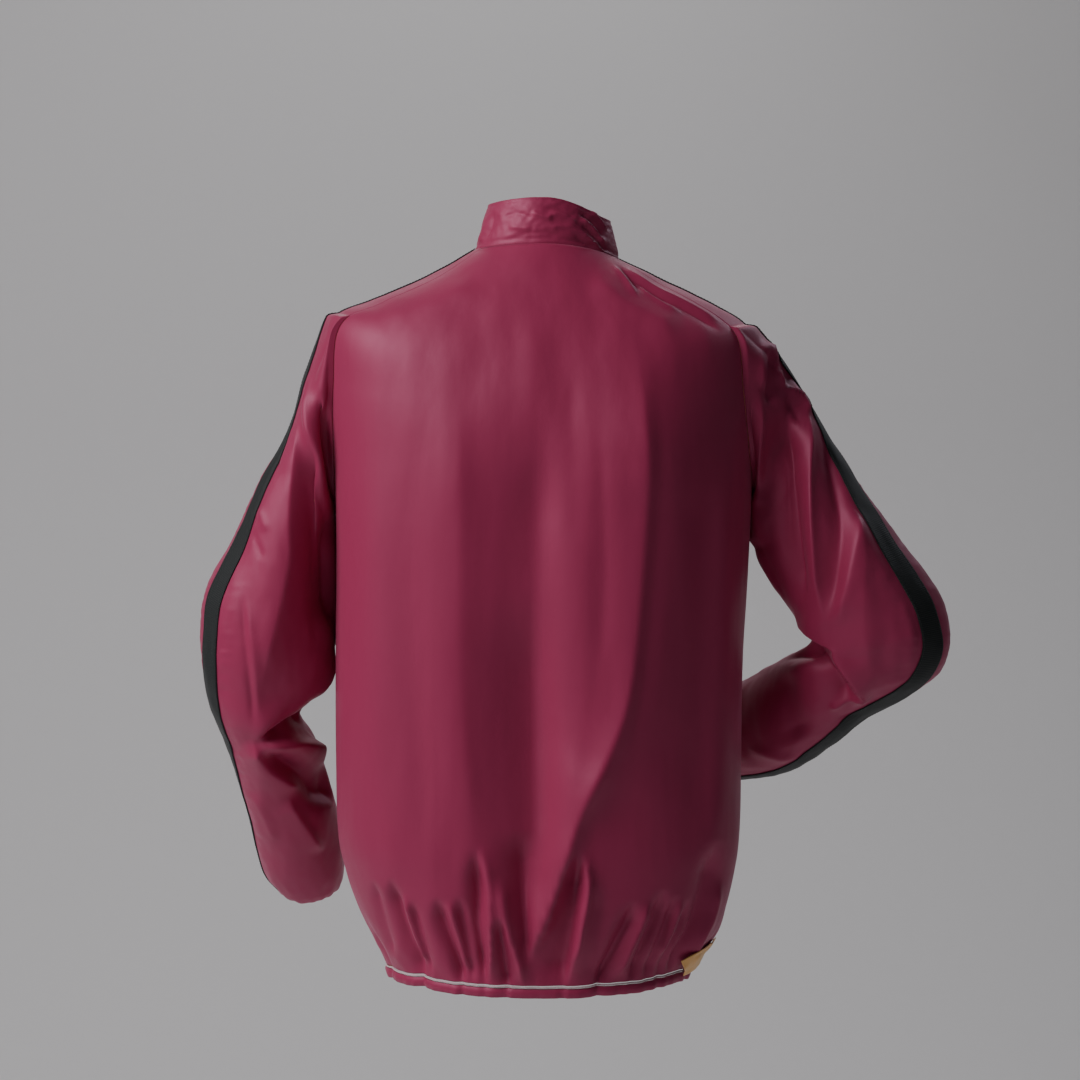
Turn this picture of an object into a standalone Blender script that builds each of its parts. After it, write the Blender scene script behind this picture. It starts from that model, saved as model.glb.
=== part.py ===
"""Reversible windbreaker in its worn form: each cut piece is a thin closed wall of its own.

The frame: +Z up, the zip faces -Y, the back faces +Y, the wearer's left is +X. The origin is
the centre of the neck opening at the height of the collar seam. Tables are in millimetres.
"""

import math
from collections import namedtuple

import bmesh
import bpy
import numpy as np
from mathutils import Matrix, Vector

MM = 0.001
CLOTH = 1.2              # wall of every cloth piece
SEAM = 0.35              # each piece stops this short of a seam line
LIFT = 0.5               # what lies on a panel stands this far off it
TAPE_WALL = 1.0
TAPE_HALF = 13.0         # half the width of the black sleeve tape
TAPE_BACK = 4.0          # the tape lies this far behind the top of the shoulder
ZIP_HALF = 6.5           # each front stops this far from the middle of the zip
TEETH_HALF = 2.2
BAND_HEIGHT = 9.5        # hem casing
PIPING_RADIUS = 1.0
ELLIPSE_MEAN = 165.0     # turns an angle round the body into a length

COLLECTION = "reversible_windbreaker"

# ------------------------------------------------------------------ sections of the body
# A row for each section, from the neck seam down to the hem: its height at the centre back,
# the left side, the right side and the centre front; its half widths; its depths; its power.
Section = namedtuple("Section", "z_back z_left z_right z_front left right back front power")
BODY = np.array([
    Section(2, 1, -9, -66, 66, 74, 60, 72, 2.0),
    Section(-30, -26, -31, -92, 113, 120, 82, 88, 2.2),
    Section(-68, -48, -55, -120, 165, 168, 104, 102, 2.35),
    Section(-108, -69, -81, -152, 204, 200, 121, 113, 2.4),
    Section(-150, -130, -136, -190, 206, 200, 132, 122, 2.4),
    Section(-200, -194, -196, -226, 201, 197, 138, 129, 2.45),
    Section(-266, -266, -264, -276, 198, 196, 140, 133, 2.5),
    Section(-370, -370, -370, -370, 198, 191, 139, 134, 2.5),
    Section(-480, -480, -480, -480, 198, 189, 138, 133, 2.5),
    Section(-556, -556, -556, -556, 196, 187, 138, 132, 2.5),
    Section(-592, -590, -590, -590, 189, 183, 136, 131, 2.45),
    Section(-624, -621, -621, -621, 178, 176, 133, 129, 2.4),
    Section(-655, -650, -650, -650, 165, 167, 128, 124, 2.3),
    Section(-685, -679, -679, -679, 150, 142, 121, 117, 2.2),
], dtype=float)
CHEST_ROW = 7.0
UNDERARM_ROW = 5.8
HEM_ROW = float(len(BODY) - 1)

COLLAR = np.array([
    Section(2, 1, -9, -66, 66, 74, 60, 72, 2.0),
    Section(18, 16, 4, -50, 61, 71, 59, 71, 2.0),
    Section(34, 31, 17, -34, 57, 68, 57, 69, 2.0),
    Section(46, 44, 29, -21, 53, 65, 54, 66, 2.0),
], dtype=float)

# ------------------------------------------------------------------ seams
# Angles go round the body in degrees: 0 centre back, 90 wearer's left side, 180 zip.
NECK_TOP = (60, 70, 79, 90, 101, 110, 120)
NECK_CELLS = 9           # from the centre line to the shoulder seam, back and front
Seam = namedtuple("Seam", "row back_left back_right")
SADDLE = [Seam(0.0, 60, 60), Seam(0.7, 57, 57), Seam(1.4, 58, 57), Seam(2.1, 62, 60), Seam(2.7, 66, 62)]
ARMHOLE = [
    Seam(2.7, 66, 62), Seam(3.1, 67.5, 62.5), Seam(3.6, 70, 64), Seam(4.1, 73, 66.5),
    Seam(4.6, 77, 70), Seam(5.1, 81, 76), Seam(5.5, 85.5, 83), Seam(UNDERARM_ROW, 90, 90),
]
SIDE_SEAM_AT_HEM = {"left": 80.0, "right": 90.0}

# ------------------------------------------------------------------ rows of the body grid
SIDE_CELLS = 2           # from the underarm to the chest
PLAIN_ROWS = (7.4, 7.9, 8.4, 8.9, 9.4)
GATHERED_ROWS = (9.9, 10.8, 11.6, 12.2, 12.7, 13.0)

# ------------------------------------------------------------------ folds of the body
# A fold runs from its top to its foot on the back (face +1) or the front (face -1), as a
# ridge (+) or a trough (-).
Fold = namedtuple("Fold", "face x_top z_top x_foot z_foot width depth")
BODY_FOLDS = [
    Fold(1, 44, -150, 60, -880, 15, -4.5),
    Fold(1, 20, -330, 14, -640, 13, -5.5),
    Fold(1, -2, -180, 6, -760, 16, 5.5),
    Fold(1, -38, -260, -24, -760, 13, -3.0),
    Fold(1, 92, -170, 84, -620, 18, 4.0),
    Fold(1, 128, -230, 120, -600, 14, -2.5),
    Fold(1, -88, -150, -86, -600, 15, 4.0),
    Fold(1, -120, -260, -112, -640, 13, -3.0),
    Fold(1, -150, -300, -150, -640, 10, 2.5),
    Fold(-1, 52, -190, 60, -700, 15, -4.5),
    Fold(-1, 96, -210, 92, -640, 16, 4.0),
    Fold(-1, 134, -260, 126, -620, 13, -3.0),
    Fold(-1, -46, -200, -52, -700, 15, -4.5),
    Fold(-1, -90, -190, -92, -640, 16, 4.0),
    Fold(-1, -130, -270, -124, -620, 13, -3.0),
]

# A row for each gather at the hem: where it meets the hem seam, how far it leans by its top,
# how high it climbs, how wide and how deep it is.
Gather = namedtuple("Gather", "angle lean rise width depth")
GATHERS = [
    Gather(84, 4, 70, 6.0, 5.0), Gather(72, 5, 75, 6.5, 5.5), Gather(60, 4, 55, 6.0, 5.0),
    Gather(48, 3, 60, 6.5, 5.0), Gather(37, 3, 50, 6.0, 5.0), Gather(27, 1, 110, 7.5, 8.0),
    Gather(17, 1, 50, 6.0, 5.0), Gather(7, 0, 150, 7.5, 8.0), Gather(-3, -5, 105, 7.5, 8.0),
    Gather(-13, -3, 45, 6.0, 4.0), Gather(-24, -4, 55, 6.5, 4.5), Gather(-35, -6, 55, 6.5, 5.5),
    Gather(-46, -6, 60, 6.5, 5.5), Gather(-58, -5, 50, 6.0, 4.5), Gather(-70, -5, 75, 6.5, 6.0),
    Gather(-84, -4, 60, 6.0, 5.0), Gather(96, 4, 55, 6.0, 5.0), Gather(107, 3, 70, 6.5, 5.5),
    Gather(119, 2, 50, 6.0, 5.0), Gather(130, 2, 85, 7.0, 6.5), Gather(141, 0, 50, 6.0, 5.0),
    Gather(152, 0, 95, 7.0, 6.5), Gather(163, 0, 55, 6.0, 4.5), Gather(173, 0, 45, 5.0, 3.0),
    Gather(-96, -4, 55, 6.0, 5.0), Gather(-107, -3, 70, 6.5, 5.5), Gather(-119, -2, 50, 6.0, 5.0),
    Gather(-130, -2, 85, 7.0, 6.5), Gather(-141, 0, 50, 6.0, 5.0), Gather(-152, 0, 95, 7.0, 6.5),
    Gather(-163, 0, 55, 6.0, 4.5), Gather(-173, 0, 45, 5.0, 3.0),
]
GATHER_PEAK = 16.0       # a gather is deepest this far above the hem seam
GATHER_AT_SEAM = 0.3     # and keeps this share of its depth at the seam

# ------------------------------------------------------------------ sleeves
# A row for each section below the armhole: the outer and inner ends of its long axis, how far
# back its middle lies, its half depth, and how far the tape has turned to the back there.
Ring = namedtuple("Ring", "out_x out_z in_x in_z y deep turn")
SLEEVE_LEFT = [
    Ring(226, -113, 203, -284, -3, 51, 16), Ring(243, -165, 203, -308, -8, 53, 24),
    Ring(271, -217, 203, -334, -12, 57, 30), Ring(297, -270, 203, -358, -14, 60, 35),
    Ring(324, -321, 204, -383, -15, 60, 38), Ring(331, -361, 211, -408, -15, 58, 40),
    Ring(329, -397, 224, -427, -15, 55, 38), Ring(322, -431, 235, -443, -18, 51, 30),
    Ring(312, -460, 232, -454, -28, 49, 18), Ring(304, -487, 223, -470, -42, 49, 10),
    Ring(297, -518, 214, -498, -60, 47, 4), Ring(290, -550, 206, -534, -80, 45, 0),
    Ring(286, -577, 201, -569, -100, 43, -2), Ring(280, -606, 199, -598, -120, 41, -4),
    Ring(268, -625, 203, -619, -131, 34, -4), Ring(256, -631, 211, -627, -134, 25, -4),
]
SLEEVE_RIGHT = [
    Ring(-238, -118, -201, -270, 0, 50, 10), Ring(-268, -169, -202, -285, 4, 54, 20),
    Ring(-292, -207, -206, -298, 8, 57, 30), Ring(-315, -241, -215, -313, 12, 59, 38),
    Ring(-341, -276, -230, -335, 16, 59, 44), Ring(-364, -307, -242, -352, 18, 58, 48),
    Ring(-382, -338, -251, -363, 18, 56, 50), Ring(-388, -372, -256, -370, 16, 54, 48),
    Ring(-379, -401, -256, -374, 12, 52, 44), Ring(-353, -424, -252, -379, 2, 49, 38),
    Ring(-317, -446, -243, -386, -16, 46, 32), Ring(-281, -476, -230, -394, -40, 42, 26),
    Ring(-248, -501, -214, -406, -70, 36, 20), Ring(-215, -512, -198, -418, -102, 33, 14),
    Ring(-192, -516, -184, -428, -130, 33, 10), Ring(-172, -518, -168, -438, -154, 32, 6),
    Ring(-157, -516, -155, -446, -172, 29, 4), Ring(-147, -506, -146, -462, -181, 22, 4),
]
# Just outside the armhole the sleeve goes out and down by these amounts, and dips behind.
Cap = namedtuple("Cap", "out down dip")
CAP_TOP, CAP_SIDE, CAP_FOOT = Cap(22, 7, 0), Cap(6, 3, 0), Cap(4.5, 9, 0)
KEPT_RINGS = 5           # how many sections it takes for the columns to spread evenly
SLEEVE_ROWS = 24
ARMHOLE_CELLS = len(ARMHOLE) - 1
TOP_CELLS = len(NECK_TOP) - 1
AROUND = 2 * ARMHOLE_CELLS + TOP_CELLS
TAPE_COLUMN = AROUND // 2            # the tape's middle; its edges are the columns beside it
SLEEVE_FOLDS = {
    "left": [
        Fold(1, 232, -140, 262, -400, 9, -4.0), Fold(1, 255, -170, 290, -400, 10, 4.0),
        Fold(1, 285, -470, 225, -440, 8, -6.0), Fold(1, 275, -480, 232, -530, 9, -7.0),
        Fold(1, 262, -540, 238, -522, 8, 4.0),
        Fold(-1, 228, -150, 258, -400, 10, -4.0), Fold(-1, 262, -190, 292, -390, 10, 3.5),
        Fold(-1, 300, -455, 240, -445, 8, -5.0), Fold(-1, 280, -520, 225, -500, 9, -4.0),
    ],
    "right": [
        Fold(1, -226, -130, -240, -330, 9, -4.5), Fold(1, -246, -150, -252, -352, 8, 4.5),
        Fold(1, -262, -170, -268, -330, 9, -4.0), Fold(1, -292, -230, -270, -360, 8, 4.0),
        Fold(1, -276, -386, -318, -440, 8, -4.0), Fold(1, -270, -452, -318, -430, 7, 4.0),
        Fold(-1, -232, -140, -246, -330, 10, -4.0), Fold(-1, -262, -160, -272, -340, 10, 3.5),
        Fold(-1, -290, -386, -345, -410, 9, -3.0), Fold(-1, -240, -420, -280, -470, 8, -3.0),
    ],
}

# ------------------------------------------------------------------ hem corner and zip pull
TURNUP_AHEAD, TURNUP_BEHIND = 4, 6   # cells of the hem on each side of the right side seam
TURNUP_LIFTS = (2.2, 1.5, 0.8, 0.5)
SLIDER_DROP = 9.0        # the pull's hinge lies this far below the top of the collar
# Boxes are given from corner to corner in the hinge's frame: x across, y inward, z up the zip.
HINGE_OUT = 5.0          # the hinge lies this far out from the zip's surface
SLIDER_PLATE = ((-4.0, 1.8, -7.5), (4.0, 3.8, 2.5))
SLIDER_LUGS = [((-2.6, -1.0, -1.7), (-1.6, 2.8, 1.7)), ((1.6, -1.0, -1.7), (2.6, 2.8, 1.7))]
PIN_RADIUS, PIN_HALF = 0.6, 2.2
BARREL_RADIUS, BARREL_HALF = 1.5, 1.3
PIN_GAP = 0.3
PULL_PLATE = ((-3.0, -0.8, -30.0), (3.0, 0.8, -3.0))
PULL_NECK = ((-1.3, -0.8, -3.5), (1.3, 0.8, 0.0))
PULL_SLOT = ((-1.6, -2.0, -27.5), (1.6, 2.0, -22.5))

MATERIALS = {
    "shell_satin": ((0.185, 0.014, 0.045), 0.36, 0.0),
    "reverse_ochre": ((0.45, 0.22, 0.06), 0.5, 0.0),
    "piping_pale": ((0.80, 0.66, 0.66), 0.55, 0.0),
    "tape_black": ((0.008, 0.012, 0.012), 0.75, 0.0),
    "zip_tape_dark": ((0.03, 0.01, 0.015), 0.8, 0.0),
    "zip_metal": ((0.55, 0.55, 0.56), 0.3, 1.0),
}


# ------------------------------------------------------------------ curves and surfaces
def read_rows(table, at):
    """A smooth curve through the table's rows, read at fractional row numbers."""
    table = np.asarray(table, float)
    padded = np.vstack([2 * table[0] - table[1], table, 2 * table[-1] - table[-2]])
    at = np.clip(np.asarray(at, float), 0, len(table) - 1)
    i = np.minimum(at.astype(int), len(table) - 2)
    f = (at - i)[..., None]
    a, b, c, d = (padded[i + k] for k in range(4))
    return b + 0.5 * f * ((c - a) + f * ((2 * a - 5 * b + 4 * c - d) + f * (3 * (b - c) + d - a)))


def ring_point(table, angle, row, turn=2.0):
    """A point on a section of the body or the collar, at an angle in degrees. A higher turn keeps
    the sides level for longer before they fall to the front."""
    s = read_rows(table, row)
    z_back, z_left, z_right, z_front, left, right, back, front, power = np.moveaxis(s, -1, 0)
    sin, cos = np.sin(np.radians(angle)), np.cos(np.radians(angle))
    x = np.sign(sin) * np.where(sin > 0, left, right) * np.abs(sin) ** (2 / power)
    y = np.sign(cos) * np.where(cos > 0, back, front) * np.abs(cos) ** (2 / power)
    z_end = np.where(cos > 0, z_back, z_front)
    z_side = np.where(sin > 0, z_left, z_right)
    share = np.abs(cos) ** turn
    return np.stack([x, y, z_side + (z_end - z_side) * share], axis=-1)


def smooth_step(t):
    t = np.clip(t, 0, 1)
    return t * t * (3 - 2 * t)


def along_line(fold, x, z):
    """How far across and how far along a fold's line each point lies."""
    run = np.array([fold.x_foot - fold.x_top, fold.z_foot - fold.z_top], float)
    length = np.hypot(*run)
    run /= length
    dx, dz = x - fold.x_top, z - fold.z_top
    return dx * run[1] - dz * run[0], (dx * run[0] + dz * run[1]) / length


def fold_height(fold, x, z, fade=0.3):
    """The rise of a ridge, or the fall of a trough, which fades out at both ends."""
    across, along = along_line(fold, x, z)
    ends = smooth_step(along / fade) * smooth_step((1 - along) / fade)
    return fold.depth * np.exp(-(across / fold.width) ** 2) * ends


def gather_height(angle, z):
    """The gathers above the hem seam, each a trough that opens upward and fades."""
    z_hem = BODY[-1][1]
    up = z - z_hem
    total = np.zeros_like(up)
    for g in GATHERS:
        share = np.clip(up / g.rise, 0, 1)
        turned = (angle - g.angle - g.lean * share + 180) % 360 - 180
        across = np.radians(turned) * ELLIPSE_MEAN * 0.85
        width = g.width * (1 + 0.8 * share)
        swell = GATHER_AT_SEAM + (1 - GATHER_AT_SEAM) * smooth_step(up / GATHER_PEAK)
        total -= g.depth * np.exp(-(across / width) ** 2) * swell * (1 - smooth_step(share))
    return total


def body_surface(angle, row):
    """The body's outer surface with its folds."""
    angle, row = np.broadcast_arrays(np.asarray(angle, float), np.asarray(row, float))
    base = ring_point(BODY, angle, row)
    step = 0.5
    across = ring_point(BODY, angle + step, row) - ring_point(BODY, angle - step, row)
    low, high = np.minimum(row + 0.05, HEM_ROW), np.maximum(row - 0.05, 0)
    down = ring_point(BODY, angle, low) - ring_point(BODY, angle, high)
    normal = np.cross(across, down)
    normal /= np.linalg.norm(normal, axis=-1, keepdims=True)
    x, y, z = np.moveaxis(base, -1, 0)
    depth_share = smooth_step(np.abs(y) / 70.0)
    height = gather_height(angle, z)
    for fold in BODY_FOLDS:
        height = height + fold_height(fold, x, z) * depth_share * (np.sign(y) == fold.face)
    height = height * smooth_step((HEM_ROW + 0.4 - row) / 0.4)
    height = height * smooth_step((row - 1.0) / 3.0)
    return base + normal * height[..., None]


def zip_angle(table, row, side, half=ZIP_HALF):
    """The angle at which a front edge lies half a zip's width from the middle."""
    section = read_rows(table, row)
    width = section[..., 4] if side == "left" else section[..., 5]
    power = section[..., 8]
    angle = 180 - np.degrees(np.arcsin((half / width) ** (power / 2)))
    return angle if side == "left" else -angle


def side_angle(row, side):
    """The side seam's angle, which slips forward or back a little towards the hem."""
    share = smooth_step((row - UNDERARM_ROW) / (HEM_ROW - UNDERARM_ROW))
    angle = 90 + (SIDE_SEAM_AT_HEM[side] - 90) * share
    return angle if side == "left" else -angle


# ------------------------------------------------------------------ the body's panels
def seam_angle(seam, face, side):
    """A seam station's angle on the back or the front, negative on the wearer's right."""
    back = seam.back_left if side == "left" else seam.back_right
    angle = back if face == "back" else 180 - back
    return angle if side == "left" else -angle


def outer_edge(face, side):
    """Half a panel's outer edge: down the shoulder seam, the armhole and the side to the chest."""
    sewn = [(seam_angle(s, face, side), s.row) for s in SADDLE + ARMHOLE[1:]]
    below = np.linspace(UNDERARM_ROW, CHEST_ROW, SIDE_CELLS + 1)[1:]
    return np.array(sewn + [(float(side_angle(r, side)), r) for r in below])


def upper_grid(face, side):
    """Angles and rows of the half panel above the chest, each row ending on the outer edge."""
    outer = outer_edge(face, side)
    down = np.linspace(0, CHEST_ROW, len(outer))
    middle = np.zeros(len(outer)) if face == "back" else zip_angle(BODY, down, side)
    u = np.linspace(0, 1, NECK_CELLS + 1)
    angle = middle[:, None] + (outer[:, :1] - middle[:, None]) * u
    row = down[:, None] + (outer[:, 1:] - down[:, None]) * u
    return angle, row


def lower_grid(face, side, rows, columns):
    """Angles and rows of the half panel below the chest, with evenly spread columns."""
    row = np.repeat(np.array(rows)[:, None], columns, axis=1)
    centre = np.zeros(len(rows)) if face == "back" else zip_angle(BODY, row[:, 0], side)
    outer = side_angle(row[:, -1], side)
    angle = centre[:, None] + (outer - centre)[:, None] * np.linspace(0, 1, columns)
    return angle, row


def half_rows(face, side):
    """All rows of half a panel as lists of points, from the centre line to the side."""
    angle, row = upper_grid(face, side)
    rows = list(zip(angle, row))
    cells = angle.shape[1] - 1
    for finer, levels in ((2, PLAIN_ROWS), (4, GATHERED_ROWS)):
        angle, row = lower_grid(face, side, levels, finer * cells + 1)
        rows += list(zip(angle, row))
    return [body_surface(a, r) for a, r in rows]


def pull_in(rows, edges):
    """Moves the edge points of a panel in from its seam lines."""
    rows = [np.array(r) for r in rows]

    plain = [r.copy() for r in rows]

    def pulled(edge, inner):
        run = np.gradient(edge, axis=0)
        run /= np.linalg.norm(run, axis=-1, keepdims=True)
        way = inner - edge
        way -= run * np.sum(way * run, axis=-1, keepdims=True)
        return way * (SEAM / np.linalg.norm(way, axis=-1, keepdims=True))

    if "top" in edges:
        rows[0] = rows[0] + pulled(plain[0], plain[1])
    if "foot" in edges:
        rows[-1] = rows[-1] + pulled(plain[-1], plain[-2])
    for name, at, beside in (("first", 0, 1), ("last", -1, -2)):
        if name in edges:
            moves = pulled(np.array([r[at] for r in plain]), np.array([r[beside] for r in plain]))
            for row, move in zip(rows, moves):
                row[at] = row[at] + move
    return rows


def panel_faces(rows):
    """Triangles between rows of points; a row may have twice the cells of the one above."""
    faces = []
    start = 0
    for upper, lower in zip(rows, rows[1:]):
        a, b = start, start + len(upper)
        for i in range(len(upper) - 1):
            if len(lower) == len(upper):
                faces += [(a + i, a + i + 1, b + i), (a + i + 1, b + i + 1, b + i)]
            else:
                m = b + 2 * i
                faces += [(a + i, m + 1, m), (a + i, a + i + 1, m + 1), (a + i + 1, m + 2, m + 1)]
        start = b
    return faces


# ------------------------------------------------------------------ sleeves
def theta_at_depth(row, side, y):
    """The angle on the shoulder at which the surface lies y behind the top line."""
    section = read_rows(BODY, row)
    depth = section[6] if y > 0 else section[7]
    angle = 90 - math.copysign(math.degrees(math.asin((abs(y) / depth) ** (section[8] / 2))), y)
    return angle if side == "left" else -angle


def saddle_angles(seam, side):
    """The columns of the shoulder strip, from its back seam over the tape to its front seam."""
    back = seam.back_left if side == "left" else seam.back_right
    if seam.row == 0.0:
        angles = list(NECK_TOP)
    else:
        tape = [abs(theta_at_depth(seam.row, "left", TAPE_BACK + TAPE_HALF * k)) for k in (1, 0, -1)]
        angles = [back, (back + tape[0]) / 2] + tape + [(180 - back + tape[2]) / 2, 180 - back]
    turn = 1 if side == "left" else -1
    return turn * np.array(angles)


def saddle_rows(side):
    return [body_surface(saddle_angles(s, side), np.full(TOP_CELLS + 1, s.row)) for s in SADDLE]


def armhole_ring(side):
    """The closed loop where the sleeve leaves the body, from the underarm round by the back."""
    turn = 1 if side == "left" else -1
    back = [(turn * (s.back_left if side == "left" else s.back_right), s.row) for s in ARMHOLE[::-1]]
    front = [(turn * (180 - abs(a)), r) for a, r in back[::-1]]
    top = [(a, ARMHOLE[0].row) for a in saddle_angles(SADDLE[-1], side)]
    loop = back[:-1] + top + front[1:-1]
    angles, rows = np.array(loop).T
    return body_surface(angles, rows)


def cap_ring(side):
    """The armhole's loop, moved out to where the sleeve starts to hang."""
    turn = np.linspace(0, 2 * math.pi, AROUND, endpoint=False)
    foot, top = smooth_step(np.cos(turn)), smooth_step(-np.cos(turn))
    out, down, dip = (foot * f + top * t + (1 - foot - top) * s
                      for f, t, s in zip(CAP_FOOT, CAP_TOP, CAP_SIDE))
    outward = out if side == "left" else -out
    return armhole_ring(side) + np.stack([outward, -dip * np.sin(turn), -down], axis=-1)


def climb_angles(side):
    """How far round the armhole each column lies, judged by its height, to the tape's edges."""
    height = armhole_ring(side)[:, 2]
    foot, top = height[0], height.max()
    turn = np.degrees(np.arccos(np.clip(1 - 2 * (height - foot) / (top - foot), -1, 1)))
    back = turn[:TAPE_COLUMN]
    front = turn[:TAPE_COLUMN:-1]
    return back / back[-1], (front / front[-1])[::-1]


def sleeve_ring(ring, tangent, side, kept):
    """One section of the tube. The tape keeps its own columns, and near the armhole the other
    columns keep a share of their places there."""
    outer = np.array([ring.out_x, ring.y, ring.out_z], float)
    inner = np.array([ring.in_x, ring.y, ring.in_z], float)
    middle, axis = (outer + inner) / 2, (outer - inner) / 2
    way = tangent / np.linalg.norm(tangent)
    depth = np.array([0, 1.0, 0]) - way * way[1]
    depth *= ring.deep / np.linalg.norm(depth)
    half_turn = math.degrees(TAPE_HALF / ((np.linalg.norm(axis) + ring.deep) / 2))
    tape = 180 - ring.turn
    back_climb, front_climb = climb_angles(side)
    even = np.linspace(0, 1, TAPE_COLUMN)
    back = (even + (back_climb - even) * kept) * (tape - half_turn)
    even = np.linspace(1, 0, TAPE_COLUMN)[:-1]
    front = 360 - (even + (front_climb - even) * kept) * (360 - tape - half_turn)
    a = np.radians(np.concatenate([back, [tape], front]))[:, None]
    return middle - axis * np.cos(a) + depth * np.sin(a)


def sleeve_tube(side):
    """Rows of the tube from the armhole to the cuff, each a closed loop of points."""
    table = SLEEVE_LEFT if side == "left" else SLEEVE_RIGHT
    middles = np.array([[(r.out_x + r.in_x) / 2, r.y, (r.out_z + r.in_z) / 2] for r in table])
    tangents = np.gradient(middles, axis=0)
    kept = np.clip(1 - np.arange(1, len(table) + 1) / KEPT_RINGS, 0, 1)
    rings = [armhole_ring(side), cap_ring(side)]
    rings += [sleeve_ring(r, t, side, k) for r, t, k in zip(table, tangents, kept)]
    stack = np.array(rings).reshape(len(rings), -1)
    at = np.concatenate([[0], np.linspace(1, len(rings) - 1, SLEEVE_ROWS)])
    tube = read_rows(stack, at).reshape(len(at), AROUND, 3)
    return fold_tube(tube, side)


def fold_tube(tube, side):
    """Presses the sleeve's folds into a plain tube."""
    across = np.roll(tube, -1, axis=1) - np.roll(tube, 1, axis=1)
    down = np.gradient(tube, axis=0)
    normal = np.cross(across, down)
    normal /= np.linalg.norm(normal, axis=-1, keepdims=True)
    if side == "right":
        normal = -normal
    turn = np.linspace(0, 2 * math.pi, AROUND, endpoint=False)
    facing = np.sin(turn)[None, :]
    height = np.zeros(tube.shape[:2])
    for fold in SLEEVE_FOLDS[side]:
        share = smooth_step(np.maximum(facing * fold.face, 0) * 2)
        height = height + fold_height(fold, tube[..., 0], tube[..., 2]) * share
    height[0] = 0
    height[-2:] = 0
    return tube + normal * height[..., None]


def sleeve_sheet(side):
    """Points and triangles of a whole sleeve: the shoulder strip, then the tube."""
    strip, tube = saddle_rows(side), sleeve_tube(side)
    strip = pull_in(strip, ("top", "first", "last"))
    loop = np.vstack([tube[0][-1:], tube[0], tube[0][:1]])
    inner = np.vstack([tube[1][-1:], tube[1], tube[1][:1]])
    tube[0] = pull_in([loop, inner], ("top",))[0][1:-1]
    top = slice(ARMHOLE_CELLS, ARMHOLE_CELLS + TOP_CELLS + 1)
    tube[0][top] = strip[-1]
    points = [p for row in strip[:-1] for p in row]
    base = len(points)
    points += [p for row in tube for p in row]
    width = TOP_CELLS + 1
    faces = []
    for r in range(len(strip) - 1):
        for c in range(TOP_CELLS):
            a, b = r * width + c, r * width + c + 1
            last = r == len(strip) - 2
            d = base + ARMHOLE_CELLS + c if last else a + width
            faces += [(a, b, d), (b, d + 1, d)]
    for r in range(len(tube) - 1):
        for c in range(AROUND):
            a, b = base + r * AROUND + c, base + r * AROUND + (c + 1) % AROUND
            faces += [(a, b, a + AROUND), (b, b + AROUND, a + AROUND)]
    return np.array(points), faces


def tape_sheet(side):
    """The tape's own points: the sleeve's three middle columns, moved out."""
    strip, tube = saddle_rows(side), sleeve_tube(side)
    middle = TOP_CELLS // 2
    last_row = len(tube) - 2
    rows = [row[middle - 1:middle + 2] for row in strip[:-1]]
    rows += [row[TAPE_COLUMN - 1:TAPE_COLUMN + 2] for row in tube[:last_row]]
    rows = np.array(rows)
    return pull_in(list(rows), ("top",))


# ------------------------------------------------------------------ objects
def new_material(name):
    colour, roughness, metallic = MATERIALS[name]
    material = bpy.data.materials.new(name)
    material.use_nodes = True
    shader = material.node_tree.nodes["Principled BSDF"]
    shader.inputs["Base Color"].default_value = (*colour, 1)
    shader.inputs["Roughness"].default_value = roughness
    shader.inputs["Metallic"].default_value = metallic
    return material


def new_object(name, points, faces, material, collection):
    mesh = bpy.data.meshes.new(name)
    mesh.from_pydata([Vector(p) * MM for p in points], [], faces)
    mesh.validate()
    mesh.shade_smooth()
    item = bpy.data.objects.new(name, mesh)
    item.data.materials.append(new_material(material))
    collection.objects.link(item)
    return item


def add_wall(item, thickness, outward=False):
    """Gives an open surface its thickness, inward unless it lies on another piece."""
    wall = item.modifiers.new("wall", "SOLIDIFY")
    wall.thickness = thickness * MM
    wall.offset = 1 if outward else -1
    wall.use_rim = True


def flipped(faces, turn):
    return [f[::-1] for f in faces] if turn else faces


def make_body_panels(collection):
    left, right = half_rows("back", "left"), half_rows("back", "right")
    back = [np.vstack([r[::-1], l[1:]]) for l, r in zip(left, right)]
    pieces = {"back_panel": back}
    pieces["front_left"] = [row[::-1] for row in half_rows("front", "left")]
    pieces["front_right"] = half_rows("front", "right")
    for name, rows in pieces.items():
        rows = pull_in(rows, ("top", "foot", "first", "last"))
        item = new_object(name, np.vstack(rows), panel_faces(rows), "shell_satin", collection)
        add_wall(item, CLOTH)
    return pieces


def make_sleeves(collection):
    for side in ("left", "right"):
        points, faces = sleeve_sheet(side)
        turn = side == "right"
        item = new_object(f"sleeve_{side}", points, flipped(faces, turn), "shell_satin", collection)
        add_wall(item, CLOTH)
        rows = tape_sheet(side)
        lifted = lift_rows(rows, LIFT, turn)
        tape = new_object(f"tape_{side}", np.vstack(lifted), flipped(panel_faces(lifted), turn),
                          "tape_black", collection)
        add_wall(tape, TAPE_WALL, outward=True)


def lift_rows(rows, height, turn=False):
    """Moves a strip of points out along its own normals."""
    grid = np.array(rows)
    across = np.gradient(grid, axis=1)
    down = np.gradient(grid, axis=0)
    normal = np.cross(across, down)
    normal /= np.linalg.norm(normal, axis=-1, keepdims=True)
    return list(grid + normal * (-height if turn else height))


def collar_angles(row):
    """The collar's columns at one of its rows, from the right zip edge round to the left."""
    halves = {}
    for side in ("left", "right"):
        edge = abs(float(zip_angle(COLLAR, row, side)))
        back = np.linspace(0, NECK_TOP[0], NECK_CELLS + 1)[:-1]
        front = np.linspace(NECK_TOP[-1], edge, NECK_CELLS + 1)[1:]
        halves[side] = list(back) + list(NECK_TOP) + list(front)
    return np.array([-a for a in halves["right"][:0:-1]] + halves["left"])


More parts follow.
